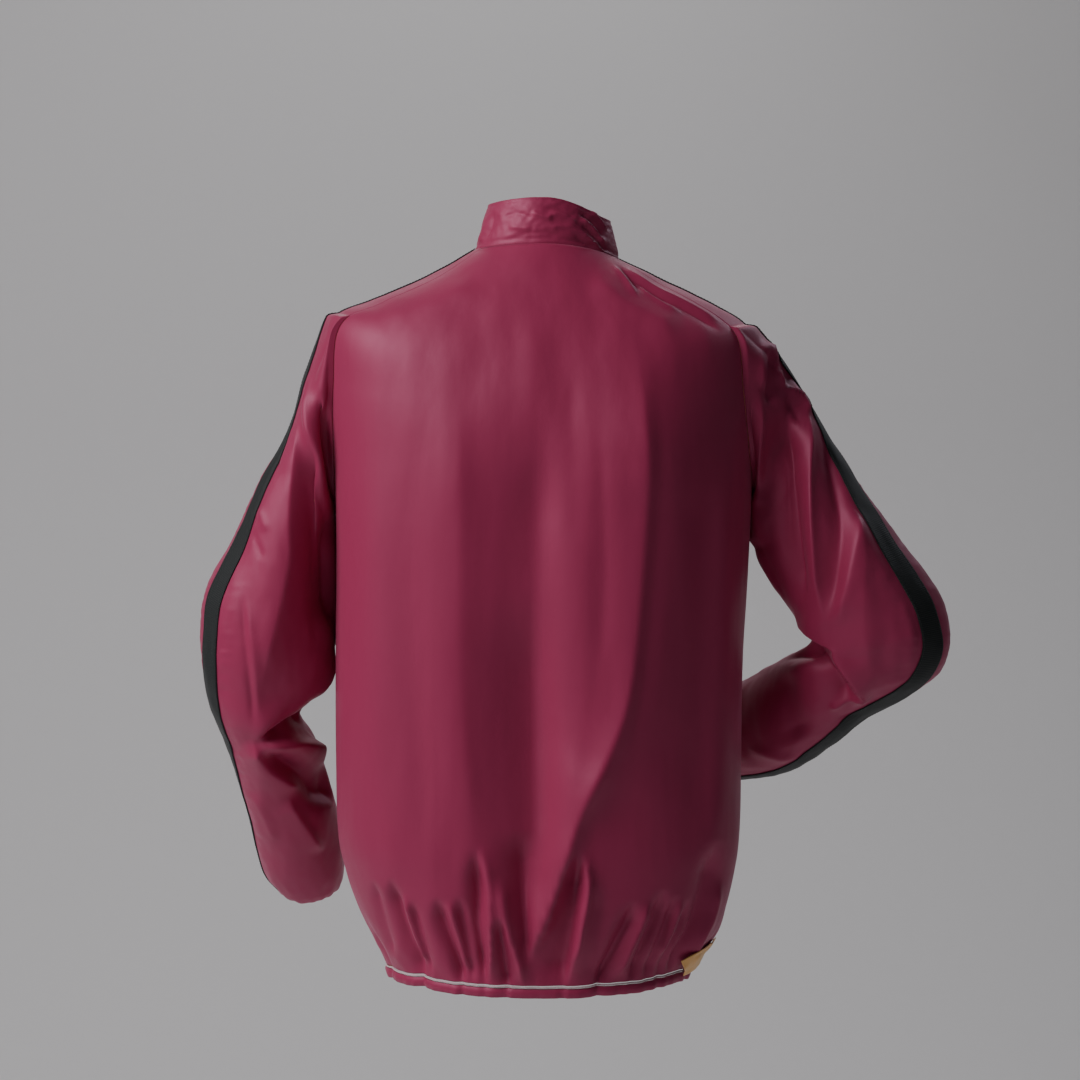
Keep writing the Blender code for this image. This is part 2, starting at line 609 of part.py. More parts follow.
def make_collar(collection):
    rows = [ring_point(COLLAR, collar_angles(r), float(r), 2 + 0.4 * r) for r in (3, 2, 1, 0)]
    rows = pull_in(rows, ("foot", "first", "last"))
    item = new_object("collar", np.vstack(rows), panel_faces(rows), "shell_satin", collection)
    add_wall(item, CLOTH)


def hem_line(pieces):
    """The hem seam from the right zip edge round the back to the left zip edge."""
    right, back, left = (pieces[name][-1] for name in ("front_right", "back_panel", "front_left"))
    return np.vstack([right[:-1], back, left[1:]])


def make_hem(pieces, collection):
    line = hem_line(pieces)
    top, foot = 2 * PIPING_RADIUS + 3 * SEAM, 2 * PIPING_RADIUS + BAND_HEIGHT
    rows = [trim_ends(line - [0, 0, drop]) for drop in (top, (top + foot) / 2, foot)]
    band = new_object("hem_band", np.vstack(rows), panel_faces(rows), "shell_satin", collection)
    add_wall(band, CLOTH)
    make_piping(trim_ends(line), collection)


def trim_ends(row):
    row = np.array(row)
    for end, inner in ((0, 1), (-1, -2)):
        way = row[inner] - row[end]
        row[end] = row[end] + way * (SEAM / np.linalg.norm(way))
    return row


def make_piping(line, collection):
    """A thin tube along the hem seam, under the panels' edge."""
    middle = line + np.array([0, 0, -(PIPING_RADIUS + 1.6 * SEAM)])
    along = np.gradient(middle, axis=0)
    out = np.cross(along, [0, 0, -1.0])
    out /= np.linalg.norm(out, axis=1, keepdims=True)
    sides = 4
    points, faces = [], []
    for centre, way in zip(middle - out * CLOTH / 2, out):
        for k in range(sides):
            a = 2 * math.pi * (k + 0.5) / sides
            points.append(centre + PIPING_RADIUS * (way * math.cos(a) + np.array([0, 0, math.sin(a)])))
    for r in range(len(middle) - 1):
        for k in range(sides):
            a, b = r * sides + k, r * sides + (k + 1) % sides
            faces += [(a, b, a + sides), (b, b + sides, a + sides)]
    last = (len(middle) - 1) * sides
    faces += [(0, 3, 2), (0, 2, 1), (last, last + 1, last + 2), (last, last + 2, last + 3)]
    new_object("hem_piping", points, faces, "piping_pale", collection)


def make_turnup(pieces, collection):
    """The hem corner that is folded outward and shows the reverse, free along its top."""
    front, back = pieces["front_right"][-3:], pieces["back_panel"][-3:]
    seam = len(front[-1]) - 1
    cells = slice(seam - TURNUP_AHEAD, seam + TURNUP_BEHIND + 1)
    rows = [np.vstack([f, b[1:]])[cells] for f, b in zip(front, back)]
    rows.append(rows[-1] - [0, 0, 2 * PIPING_RADIUS + BAND_HEIGHT])
    for end, share in ((0, 0.85), (1, 0.4), (-2, 0.4), (-1, 0.85)):
        rows[0][end] += (rows[1][end] - rows[0][end]) * share
    lifted = lift_rows(rows, np.array(TURNUP_LIFTS)[:, None, None])
    item = new_object("hem_turnup", np.vstack(lifted), panel_faces(lifted), "reverse_ochre", collection)
    add_wall(item, CLOTH, outward=True)


# ------------------------------------------------------------------ zip
def zip_path():
    """The middle line of the zip, from the top of the collar down to the hem."""
    collar = ring_point(COLLAR, np.full(5, 180.0), np.linspace(3, 0, 5))
    body = ring_point(BODY, np.full(26, 180.0), np.linspace(0, HEM_ROW, 27)[1:])
    path = np.vstack([collar, body])
    path[:, 0] = 0
    path[-1] = path[-1] + np.array([0, 0, -BAND_HEIGHT])
    return path


def zip_strip(first_x, last_x, recess):
    """A strip along the zip between two distances from its middle."""
    path = zip_path() + np.array([0, recess, 0])
    return [np.array([p + [first_x, 0, 0], p + [last_x, 0, 0]]) for p in path]


def make_zip(collection):
    recess = 0.6
    edge = ZIP_HALF - SEAM
    gap = TEETH_HALF + SEAM
    strips = {"zip_tape_left": (edge, gap), "zip_tape_right": (-gap, -edge)}
    for name, (first, last) in strips.items():
        rows = zip_strip(first, last, recess)
        item = new_object(name, np.vstack(rows), panel_faces(rows), "zip_tape_dark", collection)
        add_wall(item, TAPE_WALL)
    rows = zip_strip(TEETH_HALF, -TEETH_HALF, -0.4)
    teeth = new_object("zip_teeth", np.vstack(rows), panel_faces(rows), "zip_metal", collection)
    add_wall(teeth, 2.4)


def hinge_frame():
    """The pull's hinge: a frame on the collar front whose z axis runs up the zip."""
    path = zip_path()
    up = Vector(path[0] - path[2]).normalized()
    lean = math.atan2(-up.y, up.z)
    outward = Vector((0, -math.cos(lean), -math.sin(lean)))
    place = Vector(path[0]) - up * SLIDER_DROP + outward * HINGE_OUT
    return Matrix.Translation(place * MM) @ Matrix.Rotation(lean, 4, "X")


def add_shape(name, collection, corners=None, radius=None, half=None):
    """A box between two corners, or a round bar along the hinge's axis."""
    shape = bmesh.new()
    if corners:
        low, high = (Vector(c) * MM for c in corners)
        place = Matrix.Translation((low + high) / 2) @ Matrix.Diagonal((*(high - low), 1))
        bmesh.ops.create_cube(shape, size=1, matrix=place)
    else:
        bmesh.ops.create_cone(shape, cap_ends=True, segments=16, radius1=radius * MM, radius2=radius * MM,
                              depth=2 * half * MM, matrix=Matrix.Rotation(math.pi / 2, 4, "Y"))
    mesh = bpy.data.meshes.new(name)
    shape.to_mesh(mesh)
    shape.free()
    item = bpy.data.objects.new(name, mesh)
    item.matrix_world = hinge_frame()
    collection.objects.link(item)
    return item


def combine(item, other, operation):
    """Joins another shape to an object, or cuts it away."""
    other.hide_render = True
    other.display_type = "WIRE"
    step = item.modifiers.new(other.name, "BOOLEAN")
    step.operation = operation
    step.object = other


def round_edges(item, width):
    rounding = item.modifiers.new("rounding", "BEVEL")
    rounding.width = width * MM
    rounding.segments = 2


def make_slider(collection, cutters):
    slider = add_shape("zip_slider", collection, SLIDER_PLATE)
    slider.data.materials.append(new_material("zip_metal"))
    round_edges(slider, 0.5)
    for k, lug in enumerate(SLIDER_LUGS):
        combine(slider, add_shape(f"slider_lug_{k + 1}", cutters, lug), "UNION")
    pin = add_shape("slider_pin", cutters, radius=PIN_RADIUS, half=PIN_HALF)
    combine(slider, pin, "UNION")


def make_pull(collection, cutters):
    pull = add_shape("zip_pull", collection, PULL_PLATE)
    pull.data.materials.append(new_material("zip_metal"))
    round_edges(pull, 0.4)
    combine(pull, add_shape("pull_neck", cutters, PULL_NECK), "UNION")
    barrel = add_shape("pull_barrel", cutters, radius=BARREL_RADIUS, half=BARREL_HALF)
    combine(pull, barrel, "UNION")
    bore = add_shape("pull_bore", cutters, radius=PIN_RADIUS + PIN_GAP, half=BARREL_HALF + 1)
    combine(pull, bore, "DIFFERENCE")
    combine(pull, add_shape("pull_slot", cutters, PULL_SLOT), "DIFFERENCE")


def main():
    for item in list(bpy.data.objects):
        bpy.data.objects.remove(item, do_unlink=True)
    collection, cutters = (bpy.data.collections.new(n) for n in (COLLECTION, "cutters"))
    for group in (collection, cutters):
        bpy.context.scene.collection.children.link(group)
    pieces = make_body_panels(collection)
    make_sleeves(collection)
    make_collar(collection)
    make_hem(pieces, collection)
    make_turnup(pieces, collection)
    make_zip(collection)
    make_slider(collection, cutters)
    make_pull(collection, cutters)


main()
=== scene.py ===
"""Reversible windbreaker in its worn form: cloth, trims, zip, finishes and the studio.

Tables are in millimetres in the jacket's own frame: +Z up, the zip at -Y, the back at +Y, the
wearer's left at +X, and the origin in the middle of the neck opening. A surface is a grid of
points, and its folds are pressed into it along lines that are given in a table.
"""

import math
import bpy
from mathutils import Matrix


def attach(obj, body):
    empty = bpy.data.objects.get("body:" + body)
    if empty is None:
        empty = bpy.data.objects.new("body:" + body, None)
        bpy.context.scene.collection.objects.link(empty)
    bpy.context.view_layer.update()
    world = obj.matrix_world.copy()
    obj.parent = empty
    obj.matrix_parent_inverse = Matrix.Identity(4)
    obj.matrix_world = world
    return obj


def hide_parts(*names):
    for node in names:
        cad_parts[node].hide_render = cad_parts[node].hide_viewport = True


bl_info = {
    "name": "Reversible Windbreaker",
    "version": (1, 0, 0),
    "blender": (4, 5, 0),
    "location": "View3D > Sidebar > Windbreaker",
    "description": "Builds a worn reversible windbreaker piece by piece over its packed frame",
    "category": "Object",
}

from collections import namedtuple

import bmesh
import bpy
import numpy as np
from bpy.props import FloatProperty, FloatVectorProperty, IntProperty, PointerProperty
from mathutils import Vector, noise

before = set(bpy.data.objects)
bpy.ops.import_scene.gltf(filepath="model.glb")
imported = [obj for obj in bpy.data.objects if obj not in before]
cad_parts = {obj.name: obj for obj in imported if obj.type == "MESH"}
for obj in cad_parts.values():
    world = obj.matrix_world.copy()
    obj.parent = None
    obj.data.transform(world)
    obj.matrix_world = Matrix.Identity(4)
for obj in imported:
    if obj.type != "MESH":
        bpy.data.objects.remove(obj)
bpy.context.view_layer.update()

MM = 0.001
TURN = 2 * math.pi
SIDES = {"left": 1, "right": -1}
SHELL = ("Maroon satin", "Ochre reverse")

# Half widths of the zip, its teeth and the sleeve tape; how far back the tape lies, how thick it
# is, and the height of its stitches.
ZIP_HALF = 6.5
TEETH_HALF = 2.2
TAPE_HALF = 13.0
TAPE_BACK = 4.0
TAPE_THICK = 0.8
TAPE_TOP = 0.85
# The hem's casing and piping, the mean radius of its gathers, how high they swell to their full
# depth, and the depth beside the side seams over which the folds fade.
BAND_HEIGHT = 9.5
PIPING_RADIUS = 1.0
HEM_RADIUS = 140.25
GATHER_SWELL = 16.0
SIDE_FADE = 45.0
# The camera in metres, the photograph's side in pixels, and the size of a pixel on the jacket.
CAMERA_AWAY, CAMERA_HEIGHT = 2.6, -0.2765
PHOTO_SIDE, PIXEL = 1080, 0.96 * MM

# ------------------------------------------------------------------ sections of the body
# A row for each section, from the neck seam down to the hem: its height at the centre back,
# the left side, the right side and the centre front; its half widths; its depths; its power.
Section = namedtuple("Section", "z_back z_left z_right z_front left right back front power")
BODY = np.array([
    (2, 1, -9, -66, 66, 74, 60, 72, 2.0),
    (-30, -26, -31, -92, 113, 120, 82, 88, 2.2),
    (-68, -48, -55, -120, 165, 168, 104, 102, 2.35),
    (-108, -69, -81, -152, 204, 200, 121, 113, 2.4),
    (-150, -130, -136, -190, 206, 200, 132, 122, 2.4),
    (-200, -194, -196, -226, 201, 197, 138, 129, 2.45),
    (-266, -266, -264, -276, 198, 196, 140, 133, 2.5),
    (-370, -370, -370, -370, 198, 191, 139, 134, 2.5),
    (-480, -480, -480, -480, 198, 189, 138, 133, 2.5),
    (-556, -556, -556, -556, 196, 187, 138, 132, 2.5),
    (-592, -590, -590, -590, 189, 183, 136, 131, 2.45),
    (-624, -621, -621, -621, 178, 176, 133, 129, 2.4),
    (-655, -650, -650, -650, 165, 167, 128, 124, 2.3),
    (-685, -679, -679, -679, 150, 142, 121, 117, 2.2),
], dtype=float)
# Rows of the table: the underarm, the chest, where the hem's crinkles begin, and the hem.
UNDERARM_ROW = 5.8
CHEST_ROW = 7.0
CRINKLED_ROW = 10.5
HEM_ROW = float(len(BODY) - 1)
COLLAR = np.array([
    (2, 1, -9, -66, 66, 74, 60, 72, 2.0),
    (18, 16, 4, -50, 61, 71, 59, 71, 2.0),
    (34, 31, 17, -34, 57, 68, 57, 69, 2.0),
    (46, 44, 29, -21, 53, 65, 54, 66, 2.0),
], dtype=float)

# ------------------------------------------------------------------ seams
# Angles go round the body in degrees: 0 centre back, 90 wearer's left side, 180 zip. Cloth has
# so many stations across each piece, and the same number of cells between any two of them.
NECK_TOP = (60, 70, 79, 90, 101, 110, 120)
NECK_STATIONS = 9
PANEL_STATIONS = {"back": 14, "front": 13}
# A seam's stations: the body's row, and the angle on the back at the left and at the right.
Seam = namedtuple("Seam", "row back_left back_right")
SADDLE = [Seam(*station) for station in (
    (0.0, 60, 60), (0.7, 57, 57), (1.4, 58, 57), (2.1, 62, 60), (2.7, 66, 62))]
ARMHOLE = [Seam(*station) for station in (
    (2.7, 66, 62), (3.1, 67.5, 62.5), (3.6, 70, 64), (4.1, 73, 66.5), (4.6, 77, 70),
    (5.1, 81, 76), (5.5, 85.5, 83), (UNDERARM_ROW, 90, 90))]
SIDE_SEAM_AT_HEM = {"left": 80.0, "right": 90.0}
# The sleeve has stations round its armhole, up the back, over the strip and down the front. The
# tape's two edges lie at these ones, on the strip and on the tube.
ARM_STATIONS = len(ARMHOLE) - 1
STRIP_TAPE = (2, 4)
TUBE_TAPE = (ARM_STATIONS + 2, ARM_STATIONS + 4)

# ------------------------------------------------------------------ folds
# A fold follows a line of (x, z) points on the back (face +1) or the front (face -1), as a
# ridge (+) or a trough (-); face 0 is both. Its widths are read evenly along the line; it is
# crisp at a low power, and leans to one side by its skew.
Fold = namedtuple("Fold", "face line width depth power skew", defaults=(2.0, 0.0))
# Points along a fold's line, how many of its widths it reaches, and the shares of its length
# over which it rises at its start and fades at its end.
FOLD_POINTS = 25
FOLD_REACH = 3.2
FOLD_RISE, FOLD_FADE = 0.25, 0.22


def folds(face, *rows):
    return [Fold(face, *row) for row in rows]


BODY_FOLDS = folds(1,
    # the flat left half ends at a soft crest, and the hollow beside it deepens towards the hem
    ([(76, -120), (77, -260), (76, -400), (70, -490), (63, -570)],
     (24, 22, 20, 14), 3.5, 1.6, -0.3),
    ([(6, -130), (4, -240), (7, -370), (4, -460), (4, -540), (10, -640)],
     (27, 28, 32, 32, 28, 20), -9.5, 1.7, -0.35),
    ([(10, -320), (7, -430), (5, -500), (6, -570), (12, -650)],
     (22, 27, 27, 18), -10, 1.6, -0.45),
    # the broad middle ridge
    ([(-34, -190), (-38, -300), (-36, -420), (-24, -500), (-12, -560)],
     (26, 26, 20, 12), 2, 1.5, -0.3),
    ([(-50, -180), (-54, -300), (-50, -400)], (6, 8, 8), -1.2, 1.6),
    # its crisp right edge, which runs in to a wedge at the hem
    ([(-86, -84), (-89, -180), (-90, -240), (-84, -331), (-74, -422), (-51, -490), (-28, -540)],
     (66, 62, 58, 52, 40, 26, 13), 20, 1.12, -0.05),
    ([(-92, -50), (-98, -110), (-98, -190), (-96, -260)], (56, 60), 4, 1.9, 0.2),
    ([(-98, -130), (-100, -240), (-93, -340), (-84, -425), (-66, -500)], (9, 10, 9, 7), -1.8, 1.6),
    ([(-58, -470), (-38, -515), (-26, -550), (-18, -580), (-10, -605), (-2, -628), (8, -650),
     (13, -664)], (20, 16, 13, 9, 5), 10, 1.3, -0.5),
    ([(-66, -440), (-48, -500), (-34, -560), (-26, -620), (-24, -690)],
     (40, 60, 60, 50, 40), 7, 1.3, 0.3),
    ([(-140, -150), (-142, -300), (-138, -450), (-130, -600)], (20, 22, 20), -2.6),
    ([(-164, -180), (-166, -330), (-160, -500), (-152, -600)], (9, 11, 10), 2.4),
    ([(150, -190), (156, -330), (150, -480), (138, -600)], (14, 18, 14), 2.2),
    ([(118, -150), (122, -300), (116, -450), (108, -590)], (12, 15, 12), -1.6),
    ([(8, -60), (12, -150), (10, -240)], (15, 18), 1.6),
    ([(-26, -110), (-28, -200), (-30, -300)], (8, 12), -1.2),
    # puckers along the right shoulder seam
    ([(-72, -17), (-104, -40), (-134, -56), (-170, -76)], (3.2, 3.2), 3.2, 1.2),
    ([(-76, -26), (-106, -48), (-136, -64), (-168, -84)], (3.4, 3.4), -3.2, 1.3),
    ([(-84, -34), (-110, -56), (-130, -66)], (3, 3), 2.4, 1.2),
    ([(-70, -18), (-84, -34), (-92, -46)], (2.6, 2.6), -2.6, 1.2),
    ([(-66, -18), (-79, -36), (-86, -50)], (2.6, 2.6), 2.4, 1.2),
    # the drag lines from the neck to the shoulder blades
    ([(-44, -30), (-84, -62), (-128, -84)], (10, 14), 2.2, 1.6),
    ([(60, -32), (104, -56), (150, -76)], (12, 15), 1.8, 1.8),
    # the gathers above the hem, wearer's left to right: narrow at both ends
    ([(158, -590), (151, -630), (139, -670)], (3, 7, 4), -5, 1.5),
    ([(141, -586), (136, -616), (128, -644), (116, -672), (111, -692)], (3, 8, 7, 4), -10, 1.4),
    ([(129, -600), (121, -636), (108, -674)], (3, 4, 3), 5, 1.2),
    ([(122, -606), (115, -640), (103, -680)], (3, 5, 3), -5.5, 1.4),
    ([(98, -602), (91, -632), (80, -662), (73, -690)], (3, 7, 5, 4), -9, 1.4),
    ([(87, -604), (78, -640), (68, -676)], (3, 4, 3), 4.5, 1.2),
    ([(78, -600), (72, -640), (64, -686)], (3, 6, 4), -7, 1.4),
    ([(63, -556), (60, -598), (61, -626), (57, -655), (53, -690)], (4, 8, 6, 4), -10, 1.4),
    ([(58, -552), (51, -592), (49, -622), (48, -655), (50, -688)], (4, 6, 5), 7, 1.2, 0.4),
    ([(40, -618), (37, -648), (32, -690)], (3, 6, 5), -8, 1.4),
    ([(40, -580), (32, -632), (22, -664), (17, -690)], (5, 6, 3), 6, 1.25),
    ([(20, -540), (18, -580), (17, -615), (16, -645), (16, -668)],
     (14, 10, 6, 4), -10, 1.5, -0.2),
    ([(-34, -556), (-32, -590), (-28, -622), (-23, -655), (-19, -692)],
     (4, 12, 16, 14), -15, 1.6, -0.66),
    ([(-37, -556), (-40, -589), (-36, -620), (-30, -648), (-23, -674), (-21, -692)],
     (3.5, 5, 4.5, 3.5), 10, 1.15),
    ([(-50, -590), (-48, -640), (-38, -688)], (8, 9, 6), -3, 1.8),
    ([(-82, -604), (-76, -628), (-64, -652), (-52, -678), (-47, -692)], (4, 8, 6, 4), -9.5, 1.4),
    ([(-96, -604), (-90, -628), (-80, -650), (-67, -682)], (3, 4.5, 3), 5.5, 1.2),
    ([(-110, -594), (-104, -622), (-92, -648), (-78, -688)], (4, 7, 5, 4), -9, 1.4),
    ([(-122, -602), (-116, -628), (-106, -652), (-91, -686)], (4, 6, 4), -7.5, 1.4),
    ([(-128, -606), (-120, -634), (-108, -664)], (3, 4, 3), 4, 1.2),
    ([(-136, -606), (-128, -634), (-116, -658), (-104, -688)], (4, 5, 4), -6, 1.4),
    ([(-160, -552), (-152, -600), (-140, -638), (-124, -666), (-112, -690)],
     (9, 11, 6, 4), -10, 1.5),
    ([(-168, -592), (-158, -628), (-146, -652), (-134, -676)], (4, 5, 4), 5, 1.25),
) + folds(-1,
    # the front, which hangs in the same way
    ([(52, -190), (58, -420), (60, -640)], (20, 16), -4.5),
    ([(96, -200), (98, -400), (92, -620)], (20, 18), 4),
    ([(136, -240), (132, -430), (126, -610)], (14, 14), -3.2),
    ([(-46, -190), (-52, -430), (-54, -650)], (20, 16), -4.5),
    ([(-90, -190), (-94, -400), (-92, -620)], (20, 18), 4),
    ([(-130, -250), (-128, -430), (-124, -610)], (14, 14), -3.2),
    ([(70, -110), (110, -150), (150, -215)], (12, 10), 2.6, 1.6),
    ([(-70, -112), (-112, -156), (-150, -220)], (12, 10), 2.6, 1.6),
    ([(30, -150), (34, -260), (30, -380)], (9, 12), 1.8),
    ([(-28, -150), (-30, -270), (-26, -400)], (9, 12), 1.8),
)
# Gathers at the hem by angle: where each meets the seam, its lean, rise, width and depth.
Gather = namedtuple("Gather", "angle lean rise width depth")
SIDE_GATHERS = [
    Gather(84, 4, 70, 6, 5), Gather(72, 5, 60, 5, 3.5),
    Gather(-70, -5, 60, 5, 3.5), Gather(-84, -4, 60, 6, 5),
] + [Gather(side * angle, side * lean, *rest) for side in (1, -1) for angle, lean, *rest in (
    (96, 4, 55, 6, 5), (107, 3, 70, 6.5, 5.5), (119, 2, 50, 6, 5), (130, 2, 85, 7, 6.5),
    (141, 0, 50, 6, 5), (152, 0, 95, 7, 6.5), (163, 0, 55, 6, 4.5), (173, 0, 45, 5, 3))]

# The hem corner that is turned outward: its free edge, its middle and its foot on the casing,
# each from the back round to the side.
CORNER = [
    [(-128, 80, -668), (-138, 77, -663), (-149, 67, -659), (-159, 44, -656), (-164, 18, -655)],
    [(-131, 74, -676), (-139, 69, -671), (-148, 60, -666), (-157, 40, -661), (-162, 14, -660)],
    [(-132, 66, -680), (-138, 61, -677), (-146, 52, -672), (-153, 34, -667), (-157, 9, -665)],
    [(-131, 60, -685), (-136, 54, -684), (-143, 40, -682), (-148, 22, -680), (-150, 0, -680)],
]

# ------------------------------------------------------------------ sleeves
# A row for each section below the armhole: the outer and inner ends of its long axis, how far
# back its middle lies, its half depth, and how far the tape has turned to the back there.
Ring = namedtuple("Ring", "out_x out_z in_x in_z y deep turn")
SLEEVE_LEFT = [
    (226, -113, 203, -284, -3, 51, 16), (243, -165, 203, -308, -8, 53, 24),
    (271, -217, 203, -334, -12, 57, 30), (297, -270, 203, -358, -14, 60, 35),
    (324, -321, 204, -383, -15, 60, 38), (331, -361, 211, -408, -15, 58, 40),
    (329, -397, 224, -427, -15, 55, 38), (322, -431, 235, -443, -18, 51, 30),
    (312, -460, 232, -454, -28, 49, 18), (304, -487, 223, -470, -42, 49, 10),
    (297, -518, 214, -498, -60, 47, 4), (290, -550, 206, -534, -80, 45, 0),
    (286, -577, 201, -569, -100, 43, -2), (280, -606, 199, -598, -120, 41, -4),
    (268, -625, 203, -619, -131, 34, -4), (256, -631, 211, -627, -134, 25, -4),
]
SLEEVE_RIGHT = [
    (-238, -118, -201, -270, 0, 50, 4), (-268, -169, -202, -285, 4, 54, 14),
    (-292, -207, -206, -298, 8, 57, 25), (-315, -241, -215, -313, 12, 59, 35),
    (-341, -276, -230, -335, 16, 59, 44), (-364, -307, -242, -352, 18, 58, 48),
    (-382, -338, -251, -363, 18, 56, 50), (-388, -372, -256, -370, 16, 54, 48),
    (-379, -401, -256, -374, 12, 52, 44), (-353, -424, -252, -379, 2, 49, 38),
    (-317, -446, -243, -386, -16, 46, 32), (-281, -476, -230, -394, -40, 42, 26),
    (-248, -501, -214, -406, -70, 36, 20), (-215, -512, -198, -418, -102, 33, 14),
    (-192, -516, -184, -428, -130, 33, 10), (-172, -518, -168, -438, -154, 32, 6),
    (-157, -516, -155, -446, -172, 29, 4), (-147, -506, -146, -462, -181, 22, 4),
]
# How far out and down the sleeve's cap stands from the armhole, and over how many sections the
# columns keep their places there.
CAP_TOP, CAP_SIDE, CAP_FOOT = (12, 3.5), (6, 3), (4.5, 9)
KEPT_RINGS = 5
# Rows from the armhole to the cap, and the length over which the sleeve's folds rise there.
CAP_ROWS = 8
SLEEVE_RISE = 14.0
